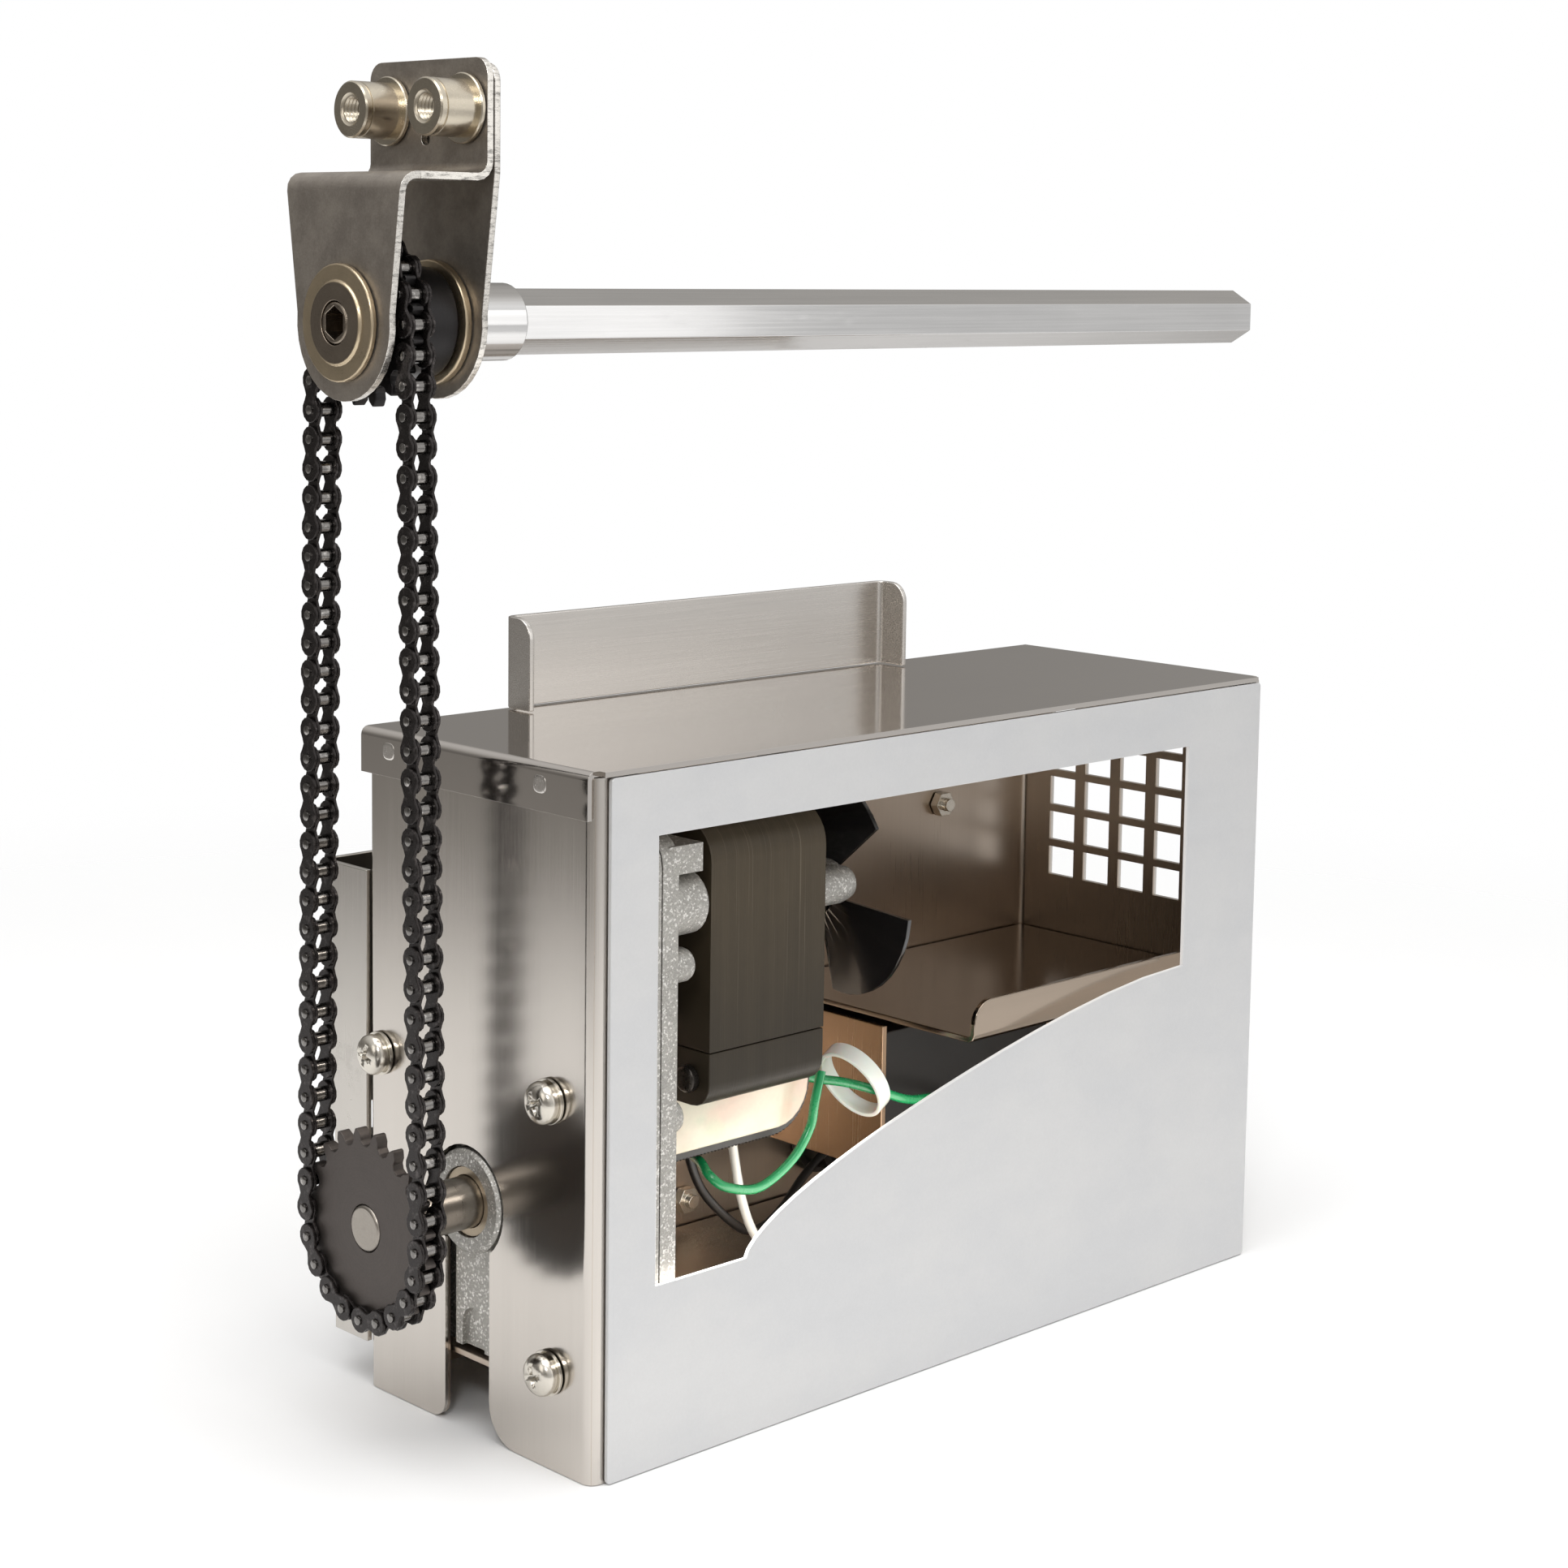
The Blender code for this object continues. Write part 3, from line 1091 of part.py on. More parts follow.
def make_brackets():
    top = LEDGE_Z + TAB_HEIGHT
    tab_x = INNER_LEG_X - GAP - BRACKET_SHEET
    # outer bracket: leg, ledge and tab are one bent sheet
    path = [
        (OUTER_LEG_X, DRIVE_Z - LEG_RADIUS - 2 * MM),
        (OUTER_LEG_X, LEDGE_Z),
        (tab_x, LEDGE_Z),
        (tab_x, top),
    ]
    sheet = bent_strip(path[::-1], BRACKET_SHEET, BRACKET_BEND + BRACKET_SHEET)
    outer = prism("bracket_outer", sheet, "Y", BRACKET_FRONT, BRACKET_BACK, DARK_STEEL)
    over = 3 * MM
    low = DRIVE_Z - LEG_RADIUS - 4 * MM
    for tag, side in (("front", -1), ("back", 1)):
        edge = DRIVE_Y + side * BRACKET_WIDTH / 2
        leg = leg_outline(LEDGE_Z)
        half = [p for p in leg if side * (p[0] - DRIVE_Y) >= -0.001 * MM and p[1] < DRIVE_Z + LEG_HEIGHT / 2]
        half.sort(key=lambda p: p[1])
        waste = [(DRIVE_Y, low), *half, (edge, DRIVE_Z + LEG_HEIGHT), (edge + side * over, DRIVE_Z + LEG_HEIGHT),
                 (edge + side * over, low)]
        cut(outer, prism("cut_leg_" + tag, waste, "X", OUTER_LEG_X - 3 * MM, OUTER_LEG_X + 5 * MM))
        cut(outer, corner_cutter("cut_tab_" + tag, (edge, top), (-side, -1), 4 * MM, "X",
                                 tab_x - 3 * MM, tab_x + BRACKET_SHEET + 3 * MM))
    inner_outline = leg_outline(top - 1 * MM)
    inner = prism("bracket_inner", inner_outline, "X", INNER_LEG_X, INNER_LEG_X + BRACKET_SHEET, DARK_STEEL)
    for tag, side in (("front", -1), ("back", 1)):
        corner = (DRIVE_Y + side * BRACKET_WIDTH / 2, top - 1 * MM)
        cut(inner, corner_cutter("cut_inner_" + tag, corner, (-side, -1), 4 * MM, "X",
                                 INNER_LEG_X - 3 * MM, INNER_LEG_X + BRACKET_SHEET + 3 * MM))
    for bracket, x in ((outer, OUTER_LEG_X), (inner, INNER_LEG_X)):
        hole = [(x - 3 * MM, SLEEVE_RADIUS + GAP), (x + BRACKET_SHEET + 3 * MM, SLEEVE_RADIUS + GAP)]
        cut(bracket, turned("cut_sleeve_" + bracket.name, hole, (0, DRIVE_Y, DRIVE_Z), steps=28))
    pilot = [(tab_x - 3 * MM, 1.5 * MM), (tab_x + BRACKET_SHEET + 3 * MM, 1.5 * MM)]
    cut(outer, turned("cut_pilot", pilot, (0, DRIVE_Y + 0.7 * MM, LEDGE_Z + 7.5 * MM), steps=16))
    # standoffs on the tab
    for tag, side in (("front", -1), ("back", 1)):
        at = (0, DRIVE_Y + side * STANDOFF_SPACING / 2, LEDGE_Z + STANDOFF_ABOVE_LEDGE)
        face = tab_x - GAP
        end = face - STANDOFF_LENGTH
        profile = [
            (end, STANDOFF_RADIUS - 0.4 * MM),
            (end + 0.4 * MM, STANDOFF_RADIUS),
            (face - 1.2 * MM, STANDOFF_RADIUS),
            (face - 1 * MM, STANDOFF_RADIUS + 1.5 * MM),
            (face, STANDOFF_RADIUS + 1.5 * MM),
        ]
        turned("standoff_" + tag, profile, at, SCREW_STEEL, 24, 3 * MM)


def make_upper_drive():
    at = (0, DRIVE_Y, DRIVE_Z)
    outer_face = OUTER_LEG_X - GAP
    sleeve_end = OUTER_LEG_X + BRACKET_SHEET + 0.8 * MM
    turned("bushing_outer", [(outer_face - 1.9 * MM, 8.7 * MM), (outer_face - 1.3 * MM, 9 * MM),
                             (outer_face - 1.3 * MM, 12.2 * MM), (outer_face - 1 * MM, 12.5 * MM),
                             (outer_face, 12.5 * MM), (outer_face, SLEEVE_RADIUS), (sleeve_end, SLEEVE_RADIUS)],
           at, BRONZE, 32, STUB_BORE)
    inner_face = INNER_LEG_X - GAP
    inner_end = INNER_LEG_X + BRACKET_SHEET + 0.6 * MM
    turned("bushing_inner", [(inner_face - 1.8 * MM, 13.2 * MM), (inner_face - 1.5 * MM, 13.5 * MM),
                             (inner_face, 13.5 * MM), (inner_face, SLEEVE_RADIUS), (inner_end, SLEEVE_RADIUS)],
           at, BRONZE, 32, STUB_BORE)
    teeth = sprocket_outline(UPPER_TEETH, UPPER_PITCH_RADIUS, math.pi / 2)
    sprocket = prism("upper_sprocket", teeth, "X", -SPROCKET_THICKNESS / 2, SPROCKET_THICKNESS / 2,
                     BLACK_STEEL, UPPER_CENTRE)
    hub_end = inner_face - 1.8 * MM - GAP - CHAIN_X
    hub = [(0, HUB_RADIUS), (hub_end - 0.5 * MM, HUB_RADIUS), (hub_end, HUB_RADIUS - 0.5 * MM)]
    join(sprocket, turned("upper_hub", hub, UPPER_CENTRE))
    boss_start = sleeve_end + GAP - CHAIN_X
    boss = [(boss_start, SLEEVE_RADIUS), (0, SLEEVE_RADIUS)]
    join(sprocket, turned("upper_boss", boss, UPPER_CENTRE, steps=24))
    bore = [(-12 * MM, STUB_BORE), (hub_end + 6 * MM, STUB_BORE)]
    cut(sprocket, turned("cut_upper_sprocket", bore, UPPER_CENTRE, steps=24))
    stub_end = outer_face - 1.9 * MM
    collar = inner_end + GAP
    profile = [
        (stub_end, STUB_RADIUS - 0.5 * MM),
        (stub_end + 0.5 * MM, STUB_RADIUS),
        (collar, STUB_RADIUS),
        (collar, COLLAR_RADIUS - 0.3 * MM),
        (collar + 0.3 * MM, COLLAR_RADIUS),
        (COLLAR_END, COLLAR_RADIUS),
        (COLLAR_END + 1.6 * MM, HEX_FLATS / 2),
        (COLLAR_END + 4 * MM, 0.96 * HEX_FLATS / 2),
    ]
    shaft = turned("hex_shaft", profile, at, BRIGHT_STEEL, 36)
    corner = HEX_FLATS / math.sqrt(3)
    start = COLLAR_END + 0.8 * MM
    join(shaft, prism("hex_bar", arc((0, 0), corner, 30, 330, 5), "X", start, HEX_END, at=at))
    socket = arc((0, 0), STUB_SOCKET_RADIUS, 30, 330, 5)
    cut(shaft, prism("cut_stub", socket, "X", stub_end - 3 * MM, stub_end + STUB_SOCKET_DEPTH, at=at))


def make_chain():
    """The closed loop: two bands for the link plates, joined by the rollers."""
    centres = [chain_point(k) for k in range(LINKS)]
    half_height = PLATE_HEIGHT / 2
    bands = bmesh.new()
    for side in (-1, 1):
        inner_x = side * CHAIN_INNER_WIDTH / 2
        outer_x = side * (CHAIN_INNER_WIDTH / 2 + PLATE_PAIR)
        rings = []
        for k in range(LINKS):
            before = centres[k - 1]
            after = centres[(k + 1) % LINKS]
            along = (after - before).normalized()
            out = Vector((along.y, -along.x))
            ring = []
            for x, reach in ((inner_x, -half_height), (inner_x, half_height),
                             (outer_x, half_height), (outer_x, -half_height)):
                point = centres[k] + out * reach
                ring.append(bands.verts.new((x, point.x, point.y)))
            rings.append(ring)
        for k in range(LINKS):
            ring = rings[k]
            following = rings[(k + 1) % LINKS]
            for j in range(4):
                n = (j + 1) % 4
                bands.faces.new((ring[j], ring[n], following[n], following[j]))
    chain = from_bmesh("roller_chain", bands, BLACK_STEEL, LOWER_CENTRE)
    rollers = bmesh.new()
    sides = 6
    reach = CHAIN_INNER_WIDTH / 2 + PLATE_PAIR / 2
    for k, centre in enumerate(centres):
        ends = []
        for x in (-reach, reach):
            ring = []
            for j in range(sides):
                angle = 2 * math.pi * j / sides
                y = centre.x + ROLLER_RADIUS * math.cos(angle)
                z = centre.y + ROLLER_RADIUS * math.sin(angle)
                ring.append(rollers.verts.new((x, y, z)))
            rollers.faces.new(ring)
            ends.append(ring)
        for j in range(sides):
            n = (j + 1) % sides
            rollers.faces.new((ends[0][j], ends[0][n], ends[1][n], ends[1][j]))
    join(chain, from_bmesh("chain_rollers", rollers, None, LOWER_CENTRE))


make_housing()
make_front_cover()
make_lid()
make_floor()
make_hanger()
make_rear_channel()
make_shelf()
make_screws()
make_nuts()
make_small_parts()
make_gear_case()
make_gear_case_cover()
make_gear_train()
make_output()
make_stator()
make_coil()
make_rotor()
make_fan()
make_rear_bearing()
make_wiring()
make_cable_tie()
make_brackets()
make_upper_drive()
make_chain()
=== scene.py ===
import json
import math

import bmesh
import bpy
from mathutils import Matrix, Vector


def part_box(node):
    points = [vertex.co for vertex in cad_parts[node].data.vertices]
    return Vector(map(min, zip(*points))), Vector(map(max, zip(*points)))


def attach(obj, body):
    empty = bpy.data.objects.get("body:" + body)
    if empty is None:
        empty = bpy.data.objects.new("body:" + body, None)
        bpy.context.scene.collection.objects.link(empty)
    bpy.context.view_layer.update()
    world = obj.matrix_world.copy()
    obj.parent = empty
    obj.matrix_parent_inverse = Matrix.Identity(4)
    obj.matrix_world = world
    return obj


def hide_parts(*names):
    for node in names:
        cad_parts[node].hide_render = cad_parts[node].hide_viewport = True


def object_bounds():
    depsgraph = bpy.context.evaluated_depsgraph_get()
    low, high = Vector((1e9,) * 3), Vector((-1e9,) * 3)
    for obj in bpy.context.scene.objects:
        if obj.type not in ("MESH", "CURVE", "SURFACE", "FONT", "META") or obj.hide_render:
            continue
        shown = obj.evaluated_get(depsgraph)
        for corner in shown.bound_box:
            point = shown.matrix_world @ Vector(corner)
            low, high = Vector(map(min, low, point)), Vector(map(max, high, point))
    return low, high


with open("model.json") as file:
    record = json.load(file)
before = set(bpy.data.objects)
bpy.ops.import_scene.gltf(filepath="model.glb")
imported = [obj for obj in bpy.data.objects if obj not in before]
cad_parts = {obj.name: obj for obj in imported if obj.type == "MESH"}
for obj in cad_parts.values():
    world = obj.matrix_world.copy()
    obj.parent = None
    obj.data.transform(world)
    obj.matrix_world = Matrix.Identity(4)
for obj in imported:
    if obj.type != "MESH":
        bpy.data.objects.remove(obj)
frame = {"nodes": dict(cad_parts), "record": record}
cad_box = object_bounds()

MM = 0.001
BOX_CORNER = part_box("housing")[0]

# Sizes below are in millimetres unless a name says otherwise. Sections are (x, radius) or (side, height) points.
CREASE = 33
SMALLEST_WELD = 2e-6

PITCH = 6.35
LOWER_TEETH = 20
UPPER_TEETH = 16
LINKS = 80
PLATE_RADIUS = 2.85
PLATE_WAIST = 1.62
PLATE_OPENING = 48
PLATE_SIDES = ((1.78, 2.50), (2.60, 3.34))
PLATE_EASE = 0.14
ROLLER_SECTION = [(-1.72, 1.0), (-1.72, 1.5), (-1.58, 1.62), (1.58, 1.62), (1.72, 1.5), (1.72, 1.0)]
PIN_SECTION = [(-3.86, 0), (-3.84, 0.66), (-3.70, 1.02), (-3.5, 1.08), (3.5, 1.08), (3.70, 1.02), (3.84, 0.66),
               (3.86, 0)]

SCREW_DOME = [(-5.0, 0), (-4.99, 1.3), (-4.86, 2.4), (-4.55, 3.3), (-4.0, 4.1), (-3.3, 4.6), (-2.6, 4.75),
              (-2.25, 4.72), (-2.1, 4.5)]
SCREW_SHANK = [(-2.1, 2.4), (3.6, 2.4), (3.7, 0)]
CROSS_RECESS = ((-6.5, 3.1, 0.62), (-4.9, 2.5, 0.55), (-3.4, 1.1, 0.35))
FLAT_WASHER = [(-0.32, 2.7), (-0.32, 5.0), (-0.42, 5.1), (-0.98, 5.1), (-1.06, 5.0), (-1.06, 2.7)]
SPLIT_WASHER = ((-1.12, 2.7), (-1.12, 4.25), (-1.2, 4.35), (-1.95, 4.35), (-2.03, 4.25), (-2.03, 2.7))
SPLIT_OPENING = 9
SPLIT_RISE = 0.12

THREAD_ROOT = 3.2
THREAD_CREST = 2.78
THREAD_PITCH = 0.9
STANDOFF_BORE = 3.0

WIRE_RADIUS = 1.15
TIE_CENTRE = Vector((104, 24, 66))
TIE_LONG = 9.8
TIE_SHORT = 7.6
TIE_SECTION = [(-2.1, 0.0), (-2.3, -0.2), (-2.3, -0.9), (-2.1, -1.1), (-0.9, -1.1), (-0.8, -1.02), (0.8, -1.02),
               (0.9, -1.1), (2.1, -1.1), (2.3, -0.9), (2.3, -0.2), (2.1, 0.0)]

BAND_ROUND = 12.5
BAND_RIB = 0.55
BAND_RIB_DEPTH = 0.28
BAND_EASE = 0.35
WELD_PLACES = ((16.5, 152.4), (70.5, 152.4))
WELD_SECTION = ((0.02, 1.0), (-0.10, 0.93), (-0.14, 0.8), (-0.10, 0.55))

FLOOR_HALF_METRES = 1.5
FLOOR_FADE_METRES = (0.34, 0.75)
CAMERA_PLACE_METRES = (-0.50245, -0.54815, 0.09716)
CAMERA_HEADING = -44.096
CAMERA_PITCH = -6.611
CAMERA_ROLL = 0.785
LENS = 67.8
LENS_SHIFT = (-0.0002, -0.1187)


def at(x, y, z):
    """A place given in millimetres from the box's front, left, bottom corner."""
    return BOX_CORNER + Vector((x, y, z)) * MM


def middle(node):
    low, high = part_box(node)
    return (low + high) / 2


# ---- finishes ------------------------------------------------------------------------------------
class Value:
    """One socket's value. Sums on it add the nodes that work them out."""

    def __init__(self, finish, socket):
        self.finish = finish
        self.socket = socket

    def sum(self, operation, *others):
        inputs = dict(enumerate((self,) + others))
        return self.finish.node("Math", {"operation": operation}, inputs)[0]

    def __add__(self, other):
        return self.sum("ADD", other)

    __radd__ = __add__

    def __mul__(self, other):
        return self.sum("MULTIPLY", other)

    __rmul__ = __mul__

    def __sub__(self, other):
        return self.sum("SUBTRACT", other)

    def __rsub__(self, other):
        return (self * -1) + other

    def __pow__(self, other):
        return self.sum("POWER", other)

    def __rpow__(self, other):
        return self.finish.node("Math", {"operation": "POWER"}, {0: other, 1: self})[0]

    def size(self):
        return self.sum("ABSOLUTE")

    def root(self):
        return self.sum("SQRT")

    def sine(self):
        return self.sum("SINE")

    def least(self, other):
        return self.sum("MINIMUM", other)

    def most(self, other):
        return self.sum("MAXIMUM", other)

    def step(self, low, high, start=0.0, end=1.0):
        """Goes smoothly from start to end as the value goes from low to high."""
        inputs = {0: self, 1: low, 2: high, 3: start, 4: end}
        return self.finish.node("MapRange", {"interpolation_type": "SMOOTHSTEP"}, inputs)[0]


class Nodes:
    """A node tree, and what every finish is worked out with."""

    def __init__(self, tree):
        self.tree = tree

    def node(self, kind, settings=None, inputs=None):
        """Adds a node, sets it, feeds its sockets and gives back its outputs."""
        made = self.tree.nodes.new("ShaderNode" + kind)
        for name, value in (settings or {}).items():
            setattr(made, name, value)
        for name, value in (inputs or {}).items():
            self.feed(made.inputs[name], value)
        return [Value(self, socket) for socket in made.outputs]

    def feed(self, socket, value):
        if isinstance(value, Value):
            self.tree.links.new(value.socket, socket)
        else:
            socket.default_value = value

    def place(self):
        """Where a point is on the piece, in metres."""
        return self.node("TexCoord")[3]

    def parts(self, vector):
        return self.node("SeparateXYZ", None, {0: vector})[:3]

    def facing(self):
        """Which way the surface faces, as three values."""
        return self.parts(self.node("TexCoord")[1])

    def scaled(self, scale, shift=(0, 0, 0)):
        """The place, scaled along each axis."""
        moved = self.node("VectorMath", {"operation": "ADD"}, {0: self.place(), 1: shift})[0]
        return self.node("VectorMath", {"operation": "MULTIPLY"}, {0: moved, 1: scale})[0]

    def noise(self, scale, detail=3.0, rough=0.55, shift=(0, 0, 0)):
        """Soft noise about 0.5; scale is one number or one for each axis."""
        if isinstance(scale, (int, float)):
            scale = (scale,) * 3
        inputs = {"Vector": self.scaled(scale, shift), "Scale": 1.0, "Detail": detail, "Roughness": rough}
        return self.node("TexNoise", None, inputs)[0]

    def cells(self, scale):
        """Random value for each cell of a crumbled pattern, and the distance to its middle."""
        outputs = self.node("TexVoronoi", None, {"Vector": self.place(), "Scale": scale})
        return self.node("SeparateColor", None, {0: outputs[1]})[0], outputs[0]

    def blend(self, share, first, second, kind="MIX"):
        """A colour between two others."""
        settings = {"data_type": "RGBA", "blend_type": kind}
        colours = [(*c, 1) if isinstance(c, tuple) and len(c) == 3 else c for c in (first, second)]
        return self.node("Mix", settings, {0: share, 6: colours[0], 7: colours[1]})[2]

    def shade(self, colour, *changes):
        """A colour made lighter or darker by values about 1."""
        total = changes[0]
        for change in changes[1:]:
            total = total * change
        grey = self.node("CombineXYZ", None, {0: total, 1: total, 2: total})[0]
        return self.blend(1.0, colour, grey, "MULTIPLY")


class Finish(Nodes):
    """A material, built up node by node on its shader."""

    def __init__(self, name, **constants):
        self.material = bpy.data.materials.new(name)
        self.material.use_nodes = True
        super().__init__(self.material.node_tree)
        self.shader = self.tree.nodes["Principled BSDF"]
        self.set(**constants)

    def set(self, **values):
        """Sets the shader's own sockets, by name."""
        for name, value in values.items():
            if isinstance(value, tuple) and len(value) == 3:
                value = (*value, 1)
            self.feed(self.shader.inputs[name.replace("_", " ")], value)

    def relief(self, height, strength, depth=0.0001):
        """Presses a height into the surface."""
        inputs = {"Strength": strength, "Distance": depth, "Height": height}
        self.set(Normal=self.node("Bump", None, inputs)[0])


STREAKS = {"X": (30, 2600, 2600), "Z": (2600, 2600, 26)}


def sheet_steel(name, colour, rough, along, inner=None, streak=0.12, cloud=0.10, inner_rough=0.3):
    """Rolled stainless sheet: fine streaks one way, soft clouds and a few faint marks."""
    steel = Finish(name, Metallic=1.0)
    lines = steel.noise(STREAKS[along], 4, 0.62)
    broad = steel.noise(tuple(s / 9 for s in STREAKS[along]), 3, 0.6, (0.3, 0.1, 0.2))
    clouds = steel.noise(16, 4, 0.6)
    marks = steel.noise((55, 60, 70), 6, 0.72, (0.7, 0.2, 0.4)).step(0.6, 0.75)
    base = colour
    roughness = rough + (lines - 0.5) * (rough * 0.55) + (clouds - 0.5) * 0.10 + marks * 0.05
    if inner:
        x, y = steel.parts(steel.place())[:2]
        low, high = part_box("housing")
        sheet = 0.8 * MM
        deep = (x - (low.x + sheet)).least((high.x - sheet) - x)
        deep = deep.least((high.y - sheet) - y).least(y - (low.y + sheet))
        inside = deep.step(0, 0.1 * MM)
        base = steel.blend(inside, colour, inner)
        roughness = roughness + inside * (inner_rough - rough)
    light = 1 + (lines - 0.5) * streak
    even = 1 + (clouds - 0.5) * cloud + (broad - 0.5) * streak * 0.6
    steel.set(Base_Color=steel.shade(base, light, even, 1 - marks * 0.05), Roughness=roughness)
    steel.relief(lines + clouds * 0.3, 0.06, 0.00005)
    return steel.material


def cover_sheet():
    """The pale front cover: satin sheet with a fine, slightly patchy grain."""
    pale = Finish("pale_satin_cover", Metallic=0.35, Specular_IOR_Level=0.4)
    fine = pale.noise((1500, 1500, 1500), 3, 0.6)
    streaks = pale.noise((60, 900, 240), 4, 0.65)
    patch = pale.noise((30, 30, 42), 6, 0.62)
    broad = pale.noise((7, 7, 9), 2, 0.5, (0.2, 0.4, 0.1))
    light = 1 + (fine - 0.5) * 0.07
    uneven = 1 + (patch - 0.5) * 0.10 + (broad - 0.5) * 0.06 + (streaks - 0.5) * 0.05
    tint = pale.blend(patch.step(0.35, 0.65), (0.588, 0.590, 0.595), (0.602, 0.600, 0.598))
    pale.set(Base_Color=pale.shade(tint, light, uneven), Roughness=0.43 + (streaks - 0.5) * 0.16)
    pale.relief(fine + patch * 0.4, 0.08, 0.00006)
    return pale.material


def bracket_plate():
    """Hot-rolled bracket plate: brown-grey and grainy, bright where it was sheared."""
    plate = Finish("bracket_plate")
    grain = plate.noise(2100, 3, 0.7)
    mottle = plate.noise(150, 5, 0.65)
    drift = plate.noise((26, 26, 14), 3, 0.5)
    ny, nz = plate.facing()[1:]
    z = plate.parts(plate.place())[2]
    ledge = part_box("bracket_outer")[1].z - 24.5 * MM
    sheared = ny.size().step(0.35, 0.6)
    foot = nz.size().step(0.5, 0.7) * z.step(ledge - 4 * MM, ledge - 6 * MM)
    cut_face = sheared.most(foot)
    ridges = plate.noise((300, 1400, 1400), 3, 0.8)
    skin = plate.blend(mottle.step(0.3, 0.7), (0.29, 0.258, 0.225), (0.39, 0.35, 0.305))
    colour = plate.blend(cut_face, skin, plate.shade((0.86, 0.82, 0.76), ridges.step(0.3, 0.55, 0.35, 1.0)))
    speck = 1 + (grain - 0.5) * 0.55
    plate.set(
        Base_Color=plate.shade(colour, speck, 0.8 + drift * 0.4),
        Metallic=0.85 + cut_face * 0.15,
        Roughness=0.44 + (grain - 0.5) * 0.3 - cut_face * 0.16,
    )
    plate.relief(grain + mottle * 0.4 + ridges * cut_face, 0.22, 0.0001)
    return plate.material


def chain_black(name, colour, rough, metal=0.75):
    """Oiled black steel, worn a little brighter in patches."""
    black = Finish(name)
    wear = black.noise(520, 4, 0.7)
    fine = black.noise(3200, 2, 0.6)
    worn = wear.step(0.52, 0.72)
    warm = tuple(c * 2.6 + 0.02 for c in colour)
    black.set(
        Base_Color=black.shade(black.blend(worn, colour, warm), 1 + (fine - 0.5) * 0.5),
        Metallic=metal,
        Roughness=rough + (wear - 0.5) * 0.25,
    )
    black.relief(fine + wear, 0.12, 0.0001)
    return black.material


def faced_steel(name, colour, rough, centre, step, metal=1.0, depth=0.15, light=0.2, core=None):
    """Turned faces: rings about an axis along X, and lines round the sides."""
    turned = Finish(name)
    x, y, z = turned.parts(turned.place())
    out = ((y - centre.y) ** 2.0 + (z - centre.z) ** 2.0).root()
    lathe_place = turned.node("CombineXYZ", None, {0: out * (1 / step), 1: x * (1 / step), 2: 0.0})[0]
    lathe_inputs = {"Vector": lathe_place, "Scale": 1.0, "Detail": 3.0, "Roughness": 0.6}
    rings = turned.node("TexNoise", None, lathe_inputs)[0]
    patch = turned.noise(130, 4, 0.65)
    fine = turned.noise(2600, 2, 0.6)
    if core:
        radius, dark = core
        colour = turned.blend(out.step(radius, radius - 0.3 * MM), colour, dark)
    light_of_rings = 1 + (rings - 0.5) * light
    turned.set(
        Base_Color=turned.shade(colour, light_of_rings, 1 + (patch - 0.5) * 0.35, 1 + (fine - 0.5) * 0.2),
        Metallic=metal,
        Roughness=rough + (rings - 0.5) * 0.16 + (patch - 0.5) * 0.12,
    )
    turned.relief(rings + fine * 0.3, depth, 0.0001)
    return turned.material


def drawn_bar():
    """Bright drawn bar: long fine lines along it and a soft waviness, with painted shade on the flats facing
    down and a painted dark reflection on the flats facing up.
    """
    bar = Finish("bright_drawn_bar", Metallic=1.0)
    lines = bar.noise((14, 1500, 1500), 4, 0.6)
    rolls = bar.noise((34, 120, 120), 3, 0.5)
    dull = bar.noise((60, 300, 300), 5, 0.7).step(0.55, 0.8)
    x = bar.parts(bar.place())[0]
    stub = x.step(BOX_CORNER.x - 29 * MM, BOX_CORNER.x - 28 * MM, 1, 0)
    oily = bar.noise(420, 4, 0.6).step(0.3, 0.7)
    # Painted light: the flats facing down are painted darker as shade, and the flats facing up darker still as a
    # painted dark reflection; the side flats keep the bright colour.
    up = bar.facing()[2]
    painted_shade_lower_flats = bar.blend(up.step(-0.3, -0.75), (0.80, 0.79, 0.78), (0.50, 0.485, 0.47))
    painted_shade_and_reflection_flats = bar.blend(up.step(0.3, 0.75), painted_shade_lower_flats, (0.36, 0.345, 0.325))
    stub_colour = bar.blend(oily, (0.22, 0.185, 0.15), (0.34, 0.29, 0.235))
    colour = bar.blend(stub, painted_shade_and_reflection_flats, stub_colour)
    bar.set(
        Base_Color=bar.shade(colour, 1 + (lines - 0.5) * 0.30, 1 + (rolls - 0.5) * 0.16),
        Roughness=0.12 + (lines - 0.5) * 0.1 + dull * 0.10 + stub * 0.16,
    )
    bar.relief(lines + rolls, 0.06, 0.0001)
    return bar.material


def cast_metal():
    """Die cast metal with a coarse, glittering skin."""
    cast = Finish("die_cast_skin")
    value = cast.cells(2300)[0]
    fine_value, fine_away = cast.cells(4200)
    patch = cast.noise(90, 4, 0.6)
    lumps = cast.noise(620, 4, 0.7)
    glint = value.step(0.7, 1.0) * 0.75
    cast.set(
        Base_Color=cast.shade(cast.blend(glint, (0.42, 0.405, 0.375), (0.85, 0.83, 0.79)),
                              0.8 + patch * 0.4, 0.85 + fine_value * 0.3),
        Metallic=0.9,
        Roughness=0.52 - glint * 0.24 + (lumps - 0.5) * 0.3,
    )
    cast.relief(lumps * 1.4 + value * 0.5 + fine_away * 0.2, 0.55, 0.0003)
    return cast.material


